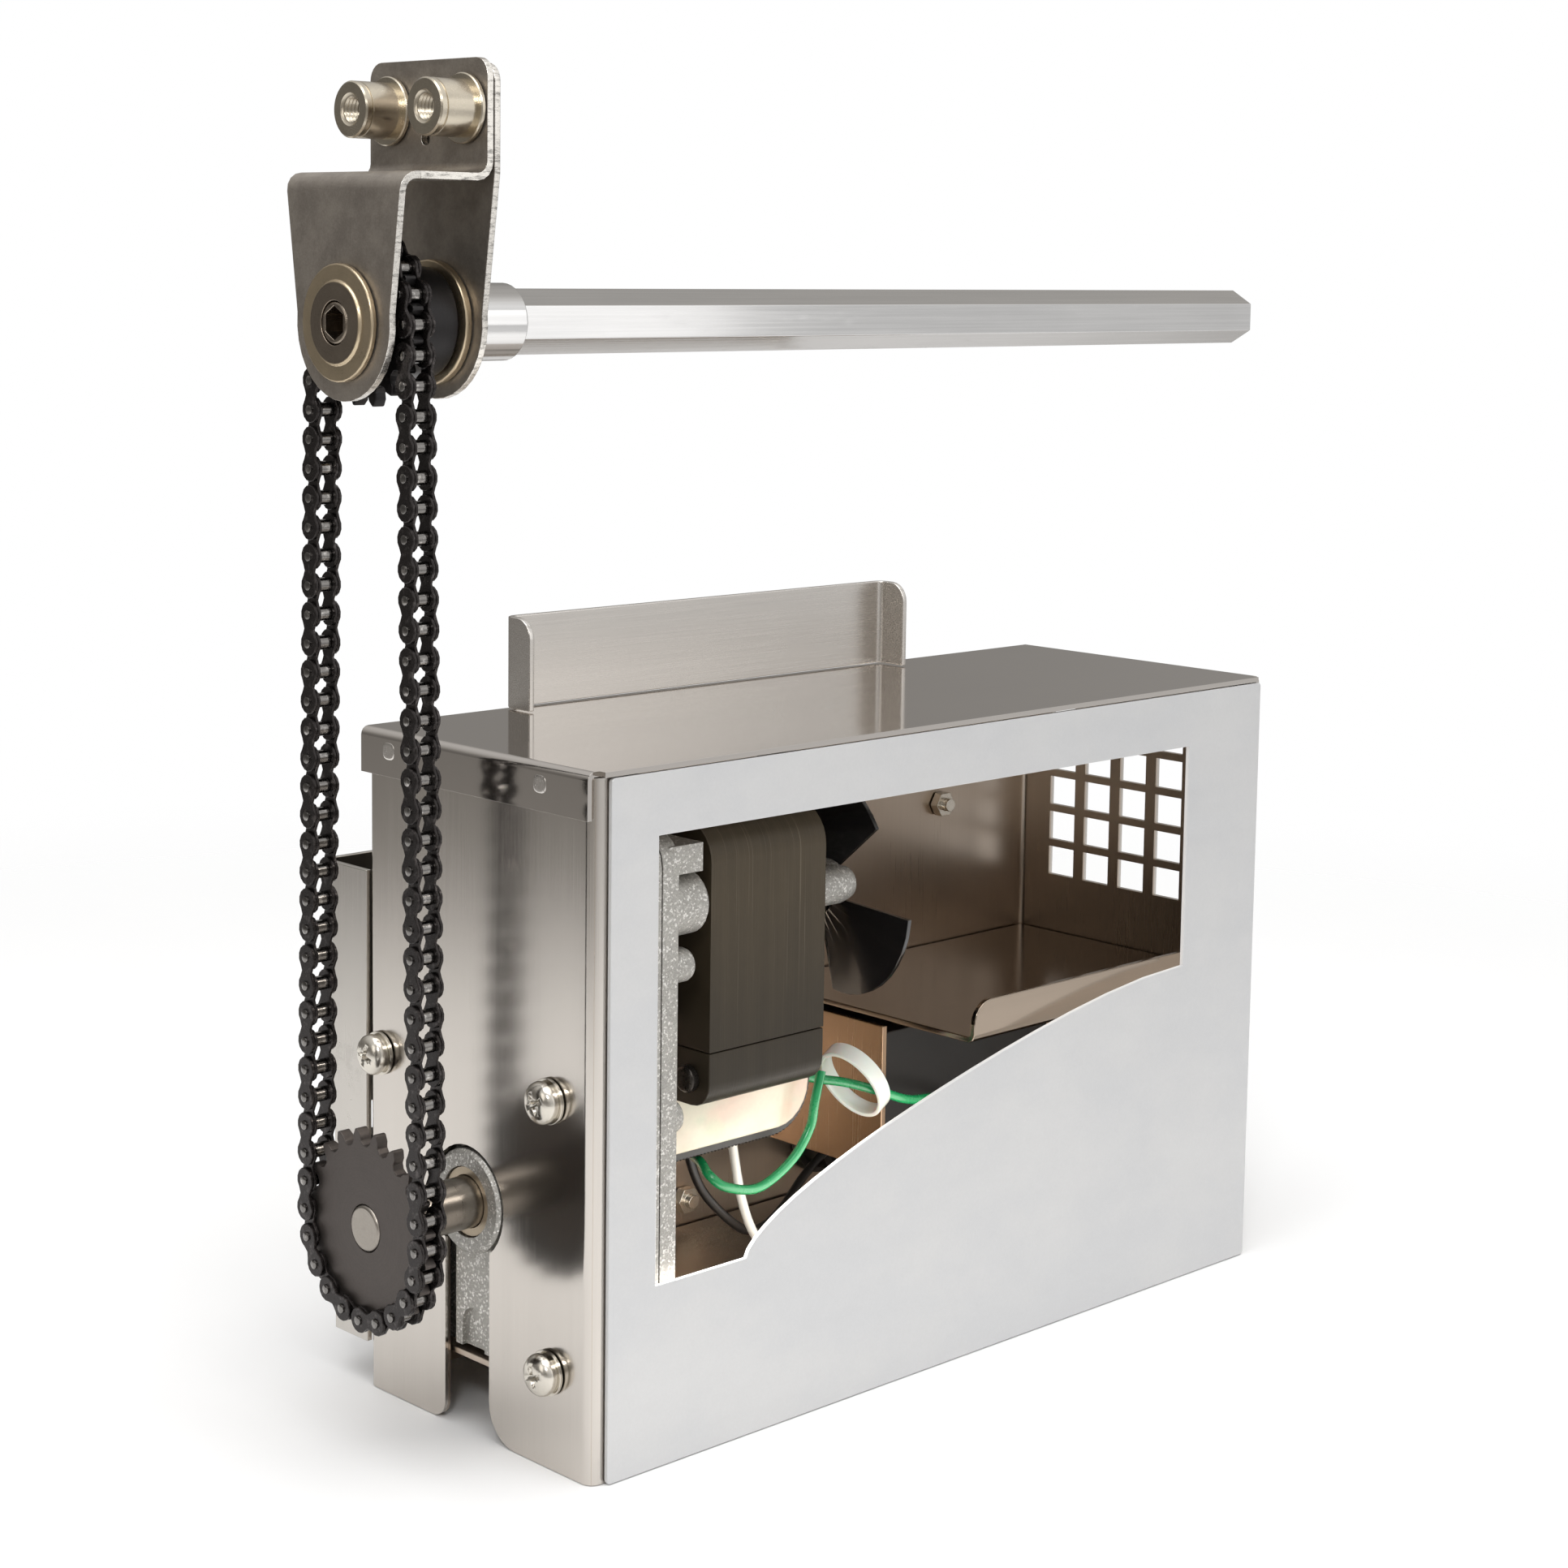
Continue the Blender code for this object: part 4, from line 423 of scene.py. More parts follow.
def stacked_sheets():
    """Oiled motor sheets stacked along X: fine upright lines on the edges, smooth ends."""
    stack = Finish("motor_sheets", Specular_IOR_Level=0.3)
    nx = stack.facing()[0]
    edge = 1 - nx.size().step(0.5, 0.8)
    lines = stack.noise((2300, 12, 12), 3, 0.75)
    broad = stack.noise((420, 10, 9), 3, 0.6)
    stain = stack.noise((60, 60, 34), 5, 0.66)
    # Darker towards the bottom and lighter towards the top, and the rubbed lines show only towards the top.
    z = stack.parts(stack.place())[2]
    low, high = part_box("stator_limb")[0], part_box("stator_core")[1]
    rise = z.step(low.z, high.z)
    oily = stack.blend(rise, (0.030, 0.0235, 0.015), (0.066, 0.050, 0.030))
    rub = lines.step(0.56, 0.78) * edge
    colour = stack.blend(rub * 0.55 * rise, oily, (0.23, 0.19, 0.14))
    stack.set(
        Base_Color=stack.shade(colour, 0.75 + stain * 0.5, 1 + (broad - 0.5) * 0.4),
        Metallic=0.2,
        Roughness=0.42 + (stain - 0.5) * 0.2 + (lines - 0.5) * 0.2,
    )
    stack.relief(lines * edge + stain * 0.15, 0.35, 0.00012)
    return stack.material


def coil_wrapping():
    """Cream winding tape under clear varnish, with painted pinkish and greenish reflections in soft patches."""
    tape = Finish("winding_tape", Coat_Weight=0.5, Coat_Roughness=0.15)
    weave = tape.noise((900, 900, 900), 2, 0.5)
    x = tape.parts(tape.place())[0]
    laps = (x * 900 + tape.noise(40, 2, 0.5) * 5).sine()
    # Painted reflections: soft patches of pink and of green are painted into the cream colour as reflections.
    painted_pink_reflection = tape.noise((40, 60, 60), 3, 0.55)
    colour = tape.blend(painted_pink_reflection.step(0.35, 0.7), (0.76, 0.72, 0.56), (0.80, 0.56, 0.44))
    painted_green_reflection = tape.noise((70, 50, 90), 2, 0.5, (0.5, 0, 0)).step(0.55, 0.75) * 0.5
    colour = tape.blend(painted_green_reflection, colour, (0.55, 0.66, 0.44))
    tape.set(Base_Color=tape.shade(colour, 0.94 + weave * 0.12), Roughness=0.38 + (weave - 0.5) * 0.2)
    tape.relief(laps * 0.3 + weave * 0.5, 0.2, 0.0002)
    return tape.material


def moulded(name, colour, rough, speck=0.2, metal=0.0, grain=1500, lift=0.05, **constants):
    """Moulded or extruded plastic and rubber: an even skin with a fine grain."""
    skin = Finish(name, Metallic=metal, **constants)
    fine = skin.noise(grain, 3, 0.6)
    patch = skin.noise(grain / 18, 3, 0.6)
    skin.set(
        Base_Color=skin.shade(colour, 1 + (patch - 0.5) * speck, 1 + (fine - 0.5) * speck * 0.6),
        Roughness=rough + (patch - 0.5) * 0.18 + (fine - 0.5) * 0.1,
    )
    skin.relief(fine + patch, lift, 0.0001)
    return skin.material


drive_axis = middle("hex_shaft")
output_axis = middle("output_shaft")
finishes = {
    "stainless": sheet_steel("stainless_side_sheet", (0.61, 0.57, 0.525), 0.19, "Z", (0.50, 0.425, 0.355)),
    "lid": sheet_steel("stainless_lid_sheet", (0.63, 0.59, 0.55), 0.085, "X", None, 0.05, 0.06),
    "hanger": sheet_steel("stainless_hanger_sheet", (0.70, 0.665, 0.625), 0.26, "X", None, 0.16, 0.08),
    "channel": sheet_steel("stainless_channel_sheet", (0.58, 0.55, 0.51), 0.24, "Z"),
    "shelf": sheet_steel("stainless_shelf_sheet", (0.36, 0.295, 0.235), 0.16, "X", None, 0.12, 0.2),
    "copper_tone": sheet_steel("control_bracket_sheet", (0.52, 0.36, 0.24), 0.25, "Z"),
    "pale_cover": cover_sheet(),
    "bracket_steel": bracket_plate(),
    "chain_steel": chain_black("chain_plate_black", (0.028, 0.024, 0.023), 0.27),
    "chain_roller": chain_black("chain_roller_steel", (0.20, 0.19, 0.18), 0.16, 1.0),
    "lower_sprocket": faced_steel("lower_sprocket_face", (0.095, 0.082, 0.075), 0.46, output_axis, 0.0006, 0.85,
                                  0.2, 0.35),
    "upper_sprocket": faced_steel("upper_sprocket_face", (0.030, 0.028, 0.028), 0.34, drive_axis, 0.0006, 0.8),
    "output_shaft": faced_steel("output_shaft_turned", (0.33, 0.30, 0.265), 0.30, output_axis, 0.0008),
    "hex_shaft": drawn_bar(),
    "bronze_lower": faced_steel("lower_bushing_bronze", (0.42, 0.35, 0.26), 0.36, output_axis, 0.0005, 0.95),
    "bronze": faced_steel("upper_bushing_bronze", (0.56, 0.46, 0.32), 0.30, drive_axis, 0.00032, 0.97, 0.07,
                          0.12, (8.6 * MM, (0.27, 0.225, 0.18))),
    "screw_steel": moulded("screw_nickel", (0.66, 0.62, 0.55), 0.22, 0.35, 1.0, 1900, 0.12),
    "standoff": moulded("standoff_nickel", (0.58, 0.52, 0.42), 0.24, 0.35, 1.0, 1900, 0.12),
    "dark_bolt": moulded("stack_bolt_black", (0.05, 0.044, 0.038), 0.3, 0.4, 0.8, 1500, 0.1),
    "gear_steel": moulded("gear_steel_greased", (0.42, 0.40, 0.36), 0.3, 0.4, 1.0, 1300, 0.1),
    "rotor_steel": faced_steel("rotor_ground", (0.45, 0.43, 0.40), 0.3, middle("rotor"), 0.0006),
    "casting": cast_metal(),
    "lamination": stacked_sheets(),
    "coil_tape": coil_wrapping(),
    "wrap": moulded("coil_band_black", (0.018, 0.015, 0.013), 0.42, 0.4, 0.0, 900, 0.25),
    "fan": moulded("fan_blade_black", (0.010, 0.009, 0.009), 0.16, 0.3, 0.0, 700, 0.04, Coat_Weight=0.5,
                   Coat_Roughness=0.1),
    "black_plastic": moulded("moulded_black", (0.014, 0.012, 0.011), 0.38, 0.3, 0.0, 1200, 0.15),
    "black_rubber": moulded("stop_rubber", (0.02, 0.02, 0.02), 0.6, 0.3, 0.0, 1000, 0.2),
    "nylon": moulded("nylon_milky", (0.70, 0.72, 0.66), 0.22, 0.08, 0.0, 500, 0.06, Subsurface_Weight=0.3,
                     Subsurface_Scale=0.004, Coat_Weight=0.3),
    "green_insulation": moulded("wire_green", (0.008, 0.235, 0.075), 0.26, 0.16, 0.0, 900, 0.04, Coat_Weight=0.4,
                                Coat_Roughness=0.15),
    "white_insulation": moulded("wire_white", (0.72, 0.70, 0.64), 0.3, 0.1, 0.0, 900, 0.04, Coat_Weight=0.3),
}

# node: (finish, width of its eased edges in millimetres, record slot)
NODE_FINISHES = {
    "housing": ("stainless", 0.2, "stainless"),
    "lid": ("lid", 0.25, "stainless"),
    "floor_panel": ("stainless", 0.2, "stainless"),
    "front_cover": ("pale_cover", 0.25, "pale_cover"),
    "hanger_bracket": ("hanger", 0.3, "stainless"),
    "rear_channel": ("channel", 0.25, "stainless"),
    "divider_shelf": ("shelf", 0.25, "stainless"),
    "gear_case": ("casting", 0.4, "casting"),
    "gear_case_cover": ("casting", 0.4, "casting"),
    "stator_core": ("lamination", 0.3, "lamination"),
    "stator_limb": ("lamination", 0.3, "lamination"),
    "coil": ("coil_tape", 0.8, "coil_tape"),
    "rotor": ("rotor_steel", 0.2, "shaft_steel"),
    "rotor_pinion": ("gear_steel", 0.05, "gear_steel"),
    "fan": ("fan", 0.12, "black_plastic"),
    "rear_bearing_bracket": ("casting", 0.4, "casting"),
    "stack_bolt_upper_front": ("dark_bolt", 0.2, "bracket_steel"),
    "stack_bolt_upper_rear": ("dark_bolt", 0.2, "bracket_steel"),
    "stack_bolt_lower_front": ("dark_bolt", 0.2, "bracket_steel"),
    "stack_bolt_lower_rear": ("dark_bolt", 0.2, "bracket_steel"),
    "output_shaft": ("output_shaft", 0.3, "shaft_steel"),
    "output_bushing": ("bronze_lower", 0.2, "bronze"),
    "lower_sprocket": ("lower_sprocket", 0.25, "chain_steel"),
    "gear_cluster_fast": ("gear_steel", 0.05, "gear_steel"),
    "gear_cluster_slow": ("gear_steel", 0.05, "gear_steel"),
    "output_gear": ("gear_steel", 0.05, "gear_steel"),
    "axle_fast": ("gear_steel", 0.1, "shaft_steel"),
    "axle_slow": ("gear_steel", 0.1, "shaft_steel"),
    "stud_nut_upper": ("screw_steel", 0.15, "screw_steel"),
    "stud_nut_lower": ("screw_steel", 0.15, "screw_steel"),
    "control_box": ("black_plastic", 0.4, "black_plastic"),
    "control_bracket": ("copper_tone", 0.15, "stainless"),
    "cable_bushing": ("black_plastic", 0.3, "black_plastic"),
    "rear_bumper": ("black_rubber", 0.6, "black_rubber"),
    "bracket_outer": ("bracket_steel", 0.22, "bracket_steel"),
    "bracket_inner": ("bracket_steel", 0.22, "bracket_steel"),
    "bushing_outer": ("bronze", 0.3, "bronze"),
    "bushing_inner": ("bronze", 0.3, "bronze"),
    "upper_sprocket": ("upper_sprocket", 0.25, "chain_steel"),
    "hex_shaft": ("hex_shaft", 0.25, "shaft_steel"),
}
BODY_OF = {node: body for body, nodes in frame["record"]["behaviour"]["bodies"].items() for node in nodes}


# ---- shapes --------------------------------------------------------------------------------------
def piece(name, shape, finish, body, replaced=(), smooth_below=35):
    """Makes a piece of the object from a shape, with its finish and body."""
    bmesh.ops.recalc_face_normals(shape, faces=shape.faces)
    mesh = bpy.data.meshes.new(name)
    shape.to_mesh(mesh)
    shape.free()
    made = bpy.data.objects.new(name, mesh)
    bpy.context.scene.collection.objects.link(made)
    mesh.materials.append(finishes[finish])
    mesh.shade_smooth()
    mesh.set_sharp_from_angle(angle=math.radians(smooth_below))
    even = made.modifiers.new("even_faces", "WEIGHTED_NORMAL")
    even.keep_sharp = True
    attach(made, body)
    if replaced:
        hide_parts(*replaced)
    return made


def dressed(node):
    """The frame's solid with eased edges, smooth bends and its finish."""
    finish, ease, slot = NODE_FINISHES[node]
    shape = bmesh.new()
    shape.from_mesh(frame["nodes"][node].data)
    bmesh.ops.remove_doubles(shape, verts=shape.verts, dist=SMALLEST_WELD)
    bmesh.ops.dissolve_limit(shape, angle_limit=math.radians(0.5), verts=shape.verts, edges=shape.edges)
    sharp = [e for e in shape.edges if e.is_manifold and e.calc_face_angle(0) > math.radians(CREASE)]
    easing = {"offset": ease * MM, "segments": 2, "profile": 0.5, "affect": "EDGES", "clamp_overlap": True}
    bmesh.ops.bevel(shape, geom=sharp, **easing)
    return piece(node + "_finished", shape, finish, BODY_OF[node], (node,))


def spin(shape, profile, centre, steps=32, closed=False, turn=0.0):
    """Adds a body turned about X through centre. Its profile is (x, radius), in millimetres."""
    rings = []
    for x, radius in profile:
        count = 1 if radius < 1e-6 else steps
        ring = []
        for k in range(count):
            angle = turn + 2 * math.pi * k / steps
            point = Vector((x, radius * math.cos(angle), radius * math.sin(angle)))
            ring.append(shape.verts.new(centre + point * MM))
        rings.append(ring)
    following = rings[1:] + (rings[:1] if closed else [])
    for first, second in zip(rings, following):
        for k in range(steps):
            n = (k + 1) % steps
            corners = [first[k % len(first)], first[n % len(first)]]
            corners += [second[n % len(second)], second[k % len(second)]]
            corners = list(dict.fromkeys(corners))
            if len(corners) > 2:
                shape.faces.new(corners)


def loft(shape, rings, closed=False):
    """Joins rings of points with faces, and closes the ends."""
    made = [[shape.verts.new(p) for p in ring] for ring in rings]
    following = made[1:] + (made[:1] if closed else [])
    for first, second in zip(made, following):
        for k in range(len(first)):
            n = (k + 1) % len(first)
            shape.faces.new((first[k], first[n], second[n], second[k]))
    if not closed:
        shape.faces.new(list(reversed(made[0])))
        shape.faces.new(made[-1])


def carve(target, cutter):
    """Cuts one piece out of another and drops the cutter."""
    tool = target.modifiers.new("carve", "BOOLEAN")
    tool.solver = "EXACT"
    tool.operation = "DIFFERENCE"
    tool.object = cutter
    made = bpy.data.meshes.new_from_object(target.evaluated_get(bpy.context.evaluated_depsgraph_get()))
    target.modifiers.clear()
    target.data = made
    bpy.data.objects.remove(cutter)


# ---- chain ---------------------------------------------------------------------------------------
LOWER_PITCH_RADIUS = PITCH / (2 * math.sin(math.pi / LOWER_TEETH))
UPPER_PITCH_RADIUS = PITCH / (2 * math.sin(math.pi / UPPER_TEETH))
CHAIN_X = (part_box("roller_chain")[0].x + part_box("roller_chain")[1].x) / 2
LOWER_CENTRE = Vector((CHAIN_X, output_axis.y, output_axis.z))
CENTRES = (drive_axis.z - output_axis.z) / MM


def chain_point(count):
    """Where the loop is after `count` pitches from its lowest roller."""
    tilt = math.asin((LOWER_PITCH_RADIUS - UPPER_PITCH_RADIUS) / CENTRES)
    quarter = (math.pi / 2 + tilt) * LOWER_TEETH / (2 * math.pi)
    cap = (math.pi / 2 - tilt) * UPPER_TEETH / (2 * math.pi)
    count %= LINKS
    side = 1
    if count > LINKS / 2:
        count = LINKS - count
        side = -1
    if count <= quarter:
        angle = -math.pi / 2 + 2 * math.pi * count / LOWER_TEETH
        point = Vector((math.cos(angle), math.sin(angle))) * LOWER_PITCH_RADIUS
    elif count >= LINKS / 2 - cap:
        angle = math.pi / 2 - 2 * math.pi * (LINKS / 2 - count) / UPPER_TEETH
        point = Vector((math.cos(angle), math.sin(angle))) * UPPER_PITCH_RADIUS
        point.y += CENTRES
    else:
        start = Vector((math.cos(tilt), math.sin(tilt))) * LOWER_PITCH_RADIUS
        end = Vector((math.cos(tilt), math.sin(tilt))) * UPPER_PITCH_RADIUS
        end.y += CENTRES
        point = start.lerp(end, (count - quarter) / (LINKS / 2 - cap - quarter))
    return LOWER_CENTRE + Vector((0, side * point.x, point.y)) * MM


def plate_outline(steps=10):
    """Figure of eight round two pins, in millimetres along and across the link."""
    points = []
    sweep = 360 - 2 * PLATE_OPENING
    for centre, start, side in ((0.0, PLATE_OPENING, -1), (PITCH, 180 + PLATE_OPENING, 1)):
        for k in range(steps + 1):
            angle = math.radians(start + sweep * k / steps)
            points.append((centre + PLATE_RADIUS * math.cos(angle), PLATE_RADIUS * math.sin(angle)))
        points.append((PITCH / 2, side * PLATE_WAIST))
    return points


def make_chain():
    """Every link's two plates, and its roller on its riveted pin."""
    outline = plate_outline()
    plates = bmesh.new()
    rollers = bmesh.new()
    for k in range(LINKS):
        here, there = chain_point(k), chain_point(k + 1)
        along = (there - here).normalized()
        across = Vector((1, 0, 0)).cross(along)
        near, far = PLATE_SIDES[k % 2]
        for side in (-1, 1):
            rings = []
            for x, inset in ((near, PLATE_EASE), (near + 0.12, 0), (far - PLATE_EASE, 0), (far, 0.16)):
                ring = []
                for u, v in outline:
                    rest = min(max(u, 0.0), PITCH)
                    pull = Vector((rest - u, -v)).normalized() * inset
                    flat = along * (u + pull.x) + across * (v + pull.y)
                    ring.append(here + (Vector((side * x, 0, 0)) + flat) * MM)
                rings.append(ring)
            loft(plates, rings)
        spin(rollers, ROLLER_SECTION, here, 16, True, 0.2)
        spin(rollers, PIN_SECTION, here, 14)
    piece("chain_plates", plates, "chain_steel", "frame", ("roller_chain",), 30)
    piece("chain_rollers_and_pins", rollers, "chain_roller", "frame")


# ---- screws and standoffs ------------------------------------------------------------------------
def cross_tool(centre, turn):
    """The tapered cross that a screwdriver's tip leaves in a head."""
    shape = bmesh.new()
    rings = []
    for x, arm, half in CROSS_RECESS:
        ring = []
        for quarter in range(4):
            for along, across in ((half, half), (arm, half), (arm, -half)):
                angle = turn - quarter * math.pi / 2
                y = along * math.cos(angle) - across * math.sin(angle)
                z = along * math.sin(angle) + across * math.cos(angle)
                ring.append(centre + Vector((x, y, z)) * MM)
        rings.append(ring)
    loft(shape, rings)
    bmesh.ops.recalc_face_normals(shape, faces=shape.faces)
    mesh = bpy.data.meshes.new("cross_tool")
    shape.to_mesh(mesh)
    tool = bpy.data.objects.new("cross_tool", mesh)
    bpy.context.scene.collection.objects.link(tool)
    return tool


def make_screw(tag, turn):
    """Domed screw with a cross recess, and the flat and split washers that it sits on."""
    node = "case_screw_" + tag
    centre = middle(node)
    centre.x = BOX_CORNER.x
    head_crease = 40
    shape = bmesh.new()
    spin(shape, SCREW_DOME + SCREW_SHANK, centre, 40)
    head = piece(node + "_cross_head", shape, "screw_steel", "frame", (node,), head_crease)
    carve(head, cross_tool(centre, turn))
    head.data.set_sharp_from_angle(angle=math.radians(head_crease))
    shape = bmesh.new()
    spin(shape, FLAT_WASHER, centre, 48, True)
    steps = 40
    opening = math.radians(SPLIT_OPENING)
    rings = []
    for k in range(steps + 1):
        share = k / steps
        angle = turn + 0.7 + opening + (2 * math.pi - 2 * opening) * share
        lift = SPLIT_RISE * (share - 0.5)
        ring = []
        for x, radius in SPLIT_WASHER:
            point = Vector((x - lift, radius * math.cos(angle), radius * math.sin(angle)))
            ring.append(centre + point * MM)
        rings.append(ring)
    loft(shape, rings)
    piece("washers_" + tag, shape, "screw_steel", "frame", ("washer_" + tag,), 35)


def make_standoff(tag):
    """Threaded standoff: a flange ring on the plate, a chamfered mouth and thread grooves inside."""
    node = "standoff_" + tag
    low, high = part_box(node)
    centre = middle(node)
    centre.x = high.x
    length = (high.x - low.x) / MM
    outer = (high.z - low.z) / 2 / MM
    steps = 44
    shape = bmesh.new()
    profile = [(0, STANDOFF_BORE), (0, outer - 0.15), (-0.15, outer), (-length + 1.9, outer)]
    profile += [(-length + 1.75, outer - 0.28), (-length + 1.45, outer - 0.28), (-length + 1.3, outer)]
    profile += [(-length + 0.35, outer), (-length, outer - 0.35), (-length, 3.55), (-length + 0.45, 3.05)]
    x = -length + 0.5
    while x < -1.3:
        profile += [(x, THREAD_CREST), (x + 0.42, THREAD_ROOT), (x + 0.84, THREAD_CREST)]
        x += THREAD_PITCH
    profile.append((-0.3, STANDOFF_BORE))
    spin(shape, profile, centre, steps, True)
    flange = [(-0.02, outer - 0.6), (-0.02, outer + 1.15), (-0.2, outer + 1.35), (-0.85, outer + 1.35)]
    flange += [(-1.1, outer + 1.1), (-1.1, outer - 0.6)]
    spin(shape, flange, centre, steps, True)
    piece(node + "_threaded", shape, "standoff", "frame", (node,), 32)


# ---- wires ---------------------------------------------------------------------------------------
ROUTES = {
    "green_wire_loop": [(86, 17.5, 73), (83.5, 17, 66), (82, 17, 59.9), (76, 17, 53.2), (65.5, 17, 48.9),
                        (56, 17.8, 50.8), (53, 20.5, 53.6), (54.5, 25, 55.2), (56, 29, 55.4)],
    "green_wire_lead": [(90.8, 31, 69), (95, 29.5, 67), (102, 25, 65.5), (109, 20.5, 63), (118, 19, 59.5),
                        (131, 22, 57), (146, 26, 53), (157, 27.5, 47), (160, 34, 40), (157, 48, 34),
                        (152, 58, 31.5), (148.5, 66, 31.5)],
    "white_wire": [(76, 38, 56), (77, 37.5, 48), (79, 37, 38), (83, 37, 29), (91, 39, 22), (102, 44, 19.5),
                   (114, 50, 20), (126, 57, 22.5), (136, 62, 26), (142, 66, 28)],
    "black_wire": [(70, 48, 56), (71.5, 48, 48), (75, 47, 39), (82, 46, 31), (91, 48, 25), (102, 53, 22.5),
                   (114, 58.5, 23.5), (126, 64, 27), (136, 66.5, 31), (141.5, 67, 32.8)],
}


def smooth_line(route, steps):
    """Points on a smooth curve through the route."""
    knots = [Vector(p) for p in route]
    knots = [2 * knots[0] - knots[1]] + knots + [2 * knots[-1] - knots[-2]]
    spans = len(knots) - 3
    line = []
    for k in range(steps + 1):
        t = spans * k / steps
        span = min(int(t), spans - 1)
        t -= span
        a, b, c, d = knots[span:span + 4]
        line.append(0.5 * ((2 * b) + (c - a) * t + (2 * a - 5 * b + 4 * c - d) * t ** 2
                           + (3 * b - a - 3 * c + d) * t ** 3))
    return line


def make_wire(node, finish):
    """Round insulated wire along its route."""
    curve = bpy.data.curves.new(node + "_lead", "CURVE")
    curve.dimensions = "3D"
    curve.bevel_depth = WIRE_RADIUS * MM
    curve.bevel_resolution = 5
    curve.use_fill_caps = True
    spline = curve.splines.new("POLY")
    line = smooth_line(ROUTES[node], 72)
    spline.points.add(len(line) - 1)
    for point, here in zip(spline.points, line):
        point.co = (*at(*here), 1)
    spline.use_smooth = True
    lead = bpy.data.objects.new(node + "_lead", curve)
    bpy.context.scene.collection.objects.link(lead)
    curve.materials.append(finishes[finish])
    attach(lead, "frame")
    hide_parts(node)


def make_cable_tie():
    """Wide milky nylon strap in an open loop round the lead, its edges rounded."""
    major = Vector((0.419, -0.525, -0.741)).normalized()
    across = Vector((-0.091, -0.834, 0.540))
    minor = (across - across.dot(major) * major).normalized()
    wide = major.cross(minor)
    shape = bmesh.new()
    steps = 72
    rings = []
    for k in range(steps):
        angle = 2 * math.pi * k / steps
        ring = []
        for side, reach in TIE_SECTION:
            point = major * (TIE_LONG + reach) * math.cos(angle) + minor * (TIE_SHORT + reach) * math.sin(angle)
            ring.append(at(*(TIE_CENTRE + point + wide * side)))
        rings.append(ring)
    loft(shape, rings, True)
    piece("cable_tie_strap", shape, "nylon", "frame", ("cable_tie",), 50)


# ---- motor ---------------------------------------------------------------------------------------
def make_coil_band():
    """The ribbed black band round the coil."""
    low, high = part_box("coil_wrap")
    thickness = (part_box("coil")[0].z - low.z) - 0.3 * MM
    radius = BAND_ROUND * MM
    ease = BAND_EASE * MM
    left, right = low.x + radius, high.x - radius
    bottom, top = low.z + radius, high.z - radius
    steps = 8
    path = []
    for x, z, start in ((right, top, 0), (left, top, 90), (left, bottom, 180), (right, bottom, 270)):
        for k in range(steps + 1):
            angle = math.radians(start + 90 * k / steps)
            out = Vector((math.cos(angle), 0, math.sin(angle)))
            path.append((Vector((x, 0, z)) + out * radius, out))
    fine = []
    for (here, out), (there, next_out) in zip(path, path[1:] + path[:1]):
        count = max(1, round((there - here).length / (BAND_RIB * MM)))
        fine += [(here.lerp(there, k / count), out.lerp(next_out, k / count)) for k in range(count)]
    shape = bmesh.new()
    rings = []
    for k, (here, out) in enumerate(fine):
        sink = BAND_RIB_DEPTH * MM if k % 2 else 0.0
        front = ((low.y, thickness), (low.y, ease + sink), (low.y + ease, sink))
        back = ((high.y - ease, sink), (high.y, ease + sink), (high.y, thickness))
        rings.append([here - out * depth + Vector((0, y, 0)) for y, depth in front + back])
    loft(shape, rings, True)
    piece("coil_band_ribbed", shape, "wrap", "frame", ("coil_wrap",), 20)


def make_lip_welds():
    """The ground-down spot welds on the lid's side lip."""
    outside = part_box("lid")[0].x
    squareness = 0.7
    steps = 24
    shape = bmesh.new()
    for y, z in WELD_PLACES:
        centre = at(0, y, z)
        rings = []
        for lift, reach in WELD_SECTION:
            ring = []
            for k in range(steps):
                angle = 2 * math.pi * k / steps
                u = abs(math.cos(angle)) ** squareness * math.copysign(1, math.cos(angle)) * 2.2 * reach
                v = abs(math.sin(angle)) ** squareness * math.copysign(1, math.sin(angle)) * 2.0 * reach
                ring.append(Vector((outside + lift * MM, centre.y + u * MM, centre.z + v * MM)))
            rings.append(ring)
        loft(shape, rings)
    piece("lip_spot_welds", shape, "hanger", "frame", (), 60)


# ---- stage ---------------------------------------------------------------------------------------
def make_stage():
    """Pale floor that fades into the room."""
    ground = Finish("studio_floor", Roughness=0.7, Specular_IOR_Level=0.15)
    x, y = ground.parts(ground.place())[:2]
    out = ((x + 0.02) ** 2.0 + (y + 0.02) ** 2.0).root()
    patch = ground.noise(9, 2, 0.5)
    ground.set(Base_Color=ground.shade((0.90, 0.90, 0.90), 0.985 + patch * 0.03))
    solid = Value(ground, ground.shader.outputs[0])
    clear = ground.node("BsdfTransparent")[0]
    faded = ground.node("MixShader", None, {0: out.step(*FLOOR_FADE_METRES), 1: solid, 2: clear})[0]
    ground.feed(ground.tree.nodes["Material Output"].inputs[0], faded)
    mesh = bpy.data.meshes.new("studio_floor")
    height = cad_box[0].z - 0.2 * MM
    half = FLOOR_HALF_METRES
    corners = [(-half, -half, height), (half, -half, height), (half, half, height), (-half, half, height)]
    mesh.from_pydata(corners, [], [(0, 1, 2, 3)])
    mesh.materials.append(ground.material)
    floor = bpy.data.objects.new("studio_floor", mesh)
    bpy.context.scene.collection.objects.link(floor)


